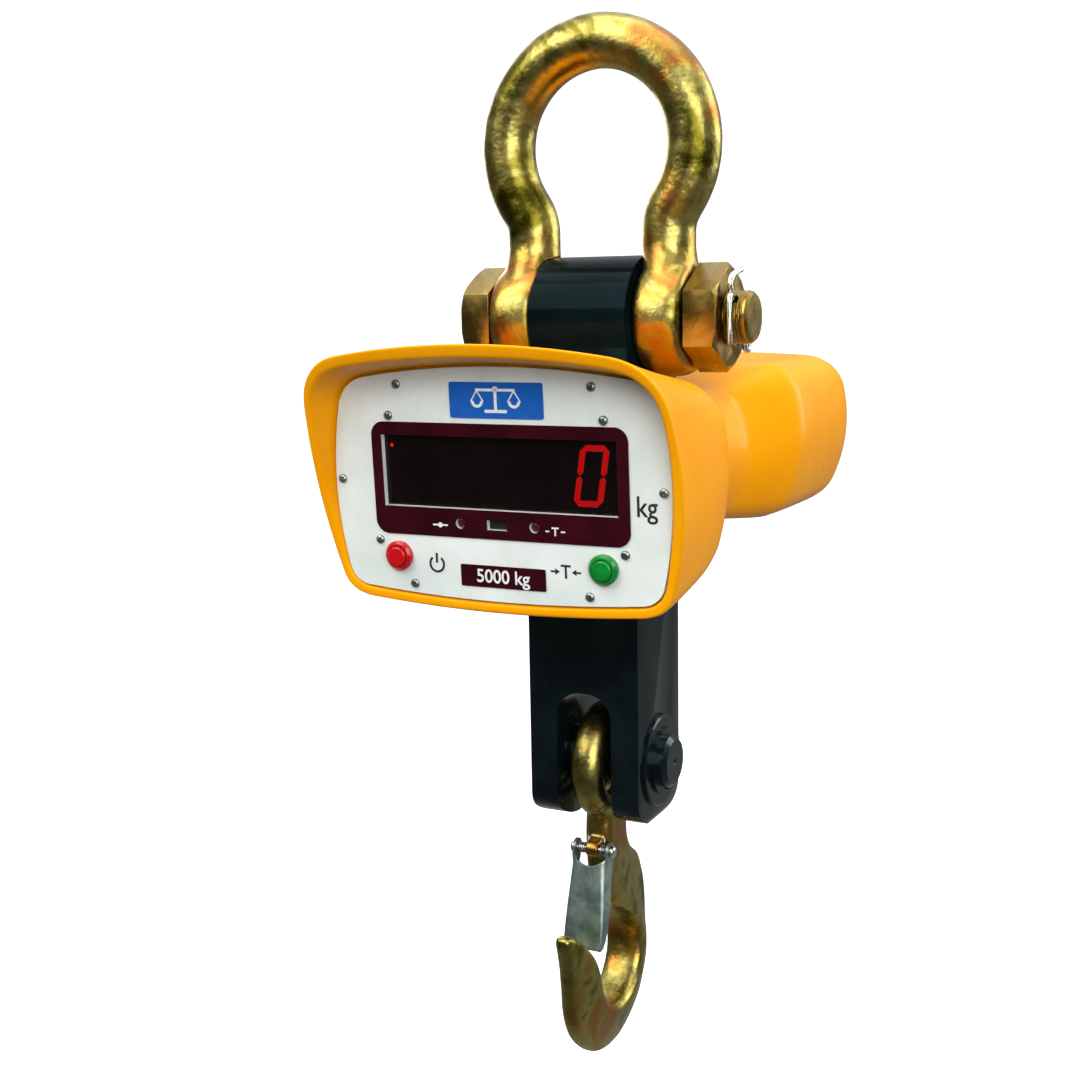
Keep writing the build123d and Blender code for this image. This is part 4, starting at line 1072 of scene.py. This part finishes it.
def lettering(name, text, x, y, size, high, look, slot, stretch, low=0.0):
    """Flat generic figures or a unit on the front plate."""
    data = bpy.data.curves.new(name, "FONT")
    data.body = text
    data.size = size * MM
    data.align_x = "CENTER"
    data.align_y = "CENTER"
    data.extrude = (high - low) / 2 * MM
    data.offset = 0.00012
    text_object = bpy.data.objects.new(name, data)
    scene.collection.objects.link(text_object)
    graph = bpy.context.evaluated_depsgraph_get()
    mesh = bpy.data.meshes.new_from_object(text_object.evaluated_get(graph))
    bpy.data.objects.remove(text_object)
    place = Matrix.Translation((x * MM, y * MM, (high + low) / 2 * MM))
    mesh.transform(PANEL @ place @ Matrix.Scale(stretch, 4, (1, 0, 0)))
    piece(name, mesh, "scale_body", slot, look=look, smooth=False)


def segments(cx, cy, wide, high, keys):
    """The named bars of one leaning seven-segment digit."""
    lean = math.tan(math.radians(9.5))
    t, gap = 3.0, 0.85
    k = t / 2
    w, h = wide / 2, high / 2
    places = {
        "a": ((-w, h), (w, h)), "b": ((w, h), (w, 0)), "c": ((w, 0), (w, -h)), "d": ((-w, -h), (w, -h)),
        "e": ((-w, 0), (-w, -h)), "f": ((-w, h), (-w, 0)), "g": ((-w, 0), (w, 0)),
    }
    shapes = []
    for key, ends in places.items():
        if key not in keys:
            continue
        p, q = (Vector(end) for end in ends)
        along = (q - p).normalized()
        n = along.orthogonal()
        shift = Vector((0, 0))
        if key in "ad":
            shift = Vector((0, -math.copysign(k, p.y)))
        elif key in "bcef":
            shift = Vector((-math.copysign(k, p.x), 0))
        inset_p, inset_q = (gap if key in "bcef" and abs(end.y) < 0.01 else gap + k * 0.95 for end in (p, q))
        a = p + shift + along * inset_p
        b = q + shift - along * inset_q
        flank, tip = along * k * 0.35, along * k * 0.45
        shape = [a - tip, a + n * k + flank, b + n * k - flank, b + tip, b - n * k - flank, a - n * k + flank]
        shapes.append([(cx + v.x + v.y * lean, cy + v.y) for v in shape])
    return shapes


def screws(name, places):
    """Small cross-recessed pan heads on the front plate, one on each side of its middle for every place."""
    profile = ((-1, 1.5), (0, 1.5), (0, 2.35), (0.6, 2.3), (1.1, 1.85), (1.4, 1.1), (1.5, 0))
    cross = bar(-1.4, 0, 1.4, 0, 0.6), bar(0, -1.4, 0, 1.4, 0.6)
    heads = []
    for i, (x, y) in enumerate((side * x, y) for x, y in places for side in (-1, 1)):
        spot = PANEL @ Matrix.Translation((x * MM, y * MM, 0)) @ Matrix.Rotation(0.7 + 1.9 * i, 4, "Z")
        head = lathe("head", profile, (0, 0, 0), 32, "Z")
        head.transform(spot)
        heads.append(carve(head, [plate("cut", shape, 0.7, 3, spot) for shape in cross]))
    piece(name + "_heads", joined(name, heads), "scale_body", "bright_zinc", [name], "screw_zinc", angle=40)


def display():
    """The digits and the small light behind the window."""
    lit, off = [], []
    for i in range(5):
        cx = -1.6 + (i - 2) * 25.1
        shown = "abcdef" if i == 4 else ""
        lit += segments(cx + 0.3, 5.45, 15.2, 29.7, shown)
        off += segments(cx + 0.3, 5.45, 15.2, 29.7, [key for key in "abcdefg" if key not in shown])
        off.append(circle(cx + 9.6, -8.0, 1.4, 20))
    merged("segments_lit", lit, -5.2, -5.05, "segment_lit", "display_black")
    merged("segments_off", off, -5.2, -5.08, "segment_off", "display_black")
    merged("stable_dot", [circle(-60.3, 17.2, 0.9, 20)], -5.4, -5.0, "segment_lit", "display_black")


def balance(cx, base, beam):
    """A pair of scales."""
    shapes = [
        bar(cx - 10.6, beam, cx + 10.6, beam, 1.3),
        bar(cx, beam + 0.4, cx, base + 0.6, 1.5),
        bar(cx - 6, base, cx + 6, base, 1.5),
    ]
    for pan in (cx - 10, cx + 10):
        shapes += [
            bar(pan, beam - 0.4, pan - 3.4, beam - 5.6, 0.6),
            bar(pan, beam - 0.4, pan + 3.4, beam - 5.6, 0.6),
            arc_stroke(pan, beam - 5.3, 2.6, 180, 360, 1.4),
        ]
    return shapes + [circle(cx, beam + 0.2, 1.6, 24)]


def marks():
    """Generic figures and symbols on the front plate and its labels."""
    lettering("unit", "kg", 78.6, -7.4, 14.0, 0.12, "ink_dark", "component_black", 0.86)
    lettering("capacity", "5000 kg", 2.0, -45.7, 9.4, 0.64, "ink_white", "bright_zinc", 0.98, 0.45)
    merged("balance_mark", balance(2.6, 36.0, 46.2), 0.55, 0.75, "ink_white", "bright_zinc")
    cx, cy = -35.0, -41.2
    power = [arc_stroke(cx, cy, 3.9, 128, 412, 1.2), bar(cx, cy + 0.6, cx, cy + 5.6, 1.2)]
    merged("power_mark", power, 0, 0.12, "ink_dark", "component_black")
    cx, cy = 36.0, -40.6
    tare = [bar(cx - 2.6, cy + 3.0, cx + 2.6, cy + 3.0, 1.1), bar(cx, cy + 3.0, cx, cy - 3.2, 1.1)]
    for side in (-1, 1):
        tare.append(bar(cx + side * 8.0, cy, cx + side * 5.2, cy, 0.9))
        tare.append([(cx + side * 3.2, cy), (cx + side * 5.6, cy + 1.6), (cx + side * 5.6, cy - 1.6)])
    merged("tare_mark", tare, 0, 0.12, "ink_dark", "component_black")
    cx, cy = -31.5, -21.0
    steady = [
        bar(cx - 4.2, cy, cx - 1.4, cy, 0.8),
        bar(cx + 1.4, cy, cx + 4.2, cy, 0.8),
        circle(cx, cy, 1.3, 20),
    ]
    merged("steady_mark", steady, 0.55, 0.7, "ink_white", "bright_zinc")
    cx, cy = 31.5, -21.0
    net = [
        bar(cx - 1.8, cy + 1.7, cx + 1.8, cy + 1.7, 0.8),
        bar(cx, cy + 1.7, cx, cy - 2.1, 0.8),
        bar(cx - 5.2, cy, cx - 3.0, cy, 0.7),
        bar(cx + 3.0, cy, cx + 5.2, cy, 0.7),
    ]
    merged("net_mark", net, 0.55, 0.7, "ink_white", "bright_zinc")


# ---------------------------------------------------------------- everything
for part in frame["record"]["subparts"]:
    node = frame["nodes"][part["node"]]
    screw = part["node"] in ("panel_screws", "display_screws")
    node.data.materials.clear()
    node.data.materials.append(LOOKS["screw_zinc" if screw else part["material_slot"]])

camera()
stage()
housing()
shackle()
bolt()
cotter()
load_cell()
clevis()
hook()
latch()
rivet()
screws("panel_screws", ((52.6, 48.3), (87.5, 0.0), (48.3, -52.0)))
screws("display_screws", ((58.2, 32.8), (67.3, -30.4)))
display()
marks()
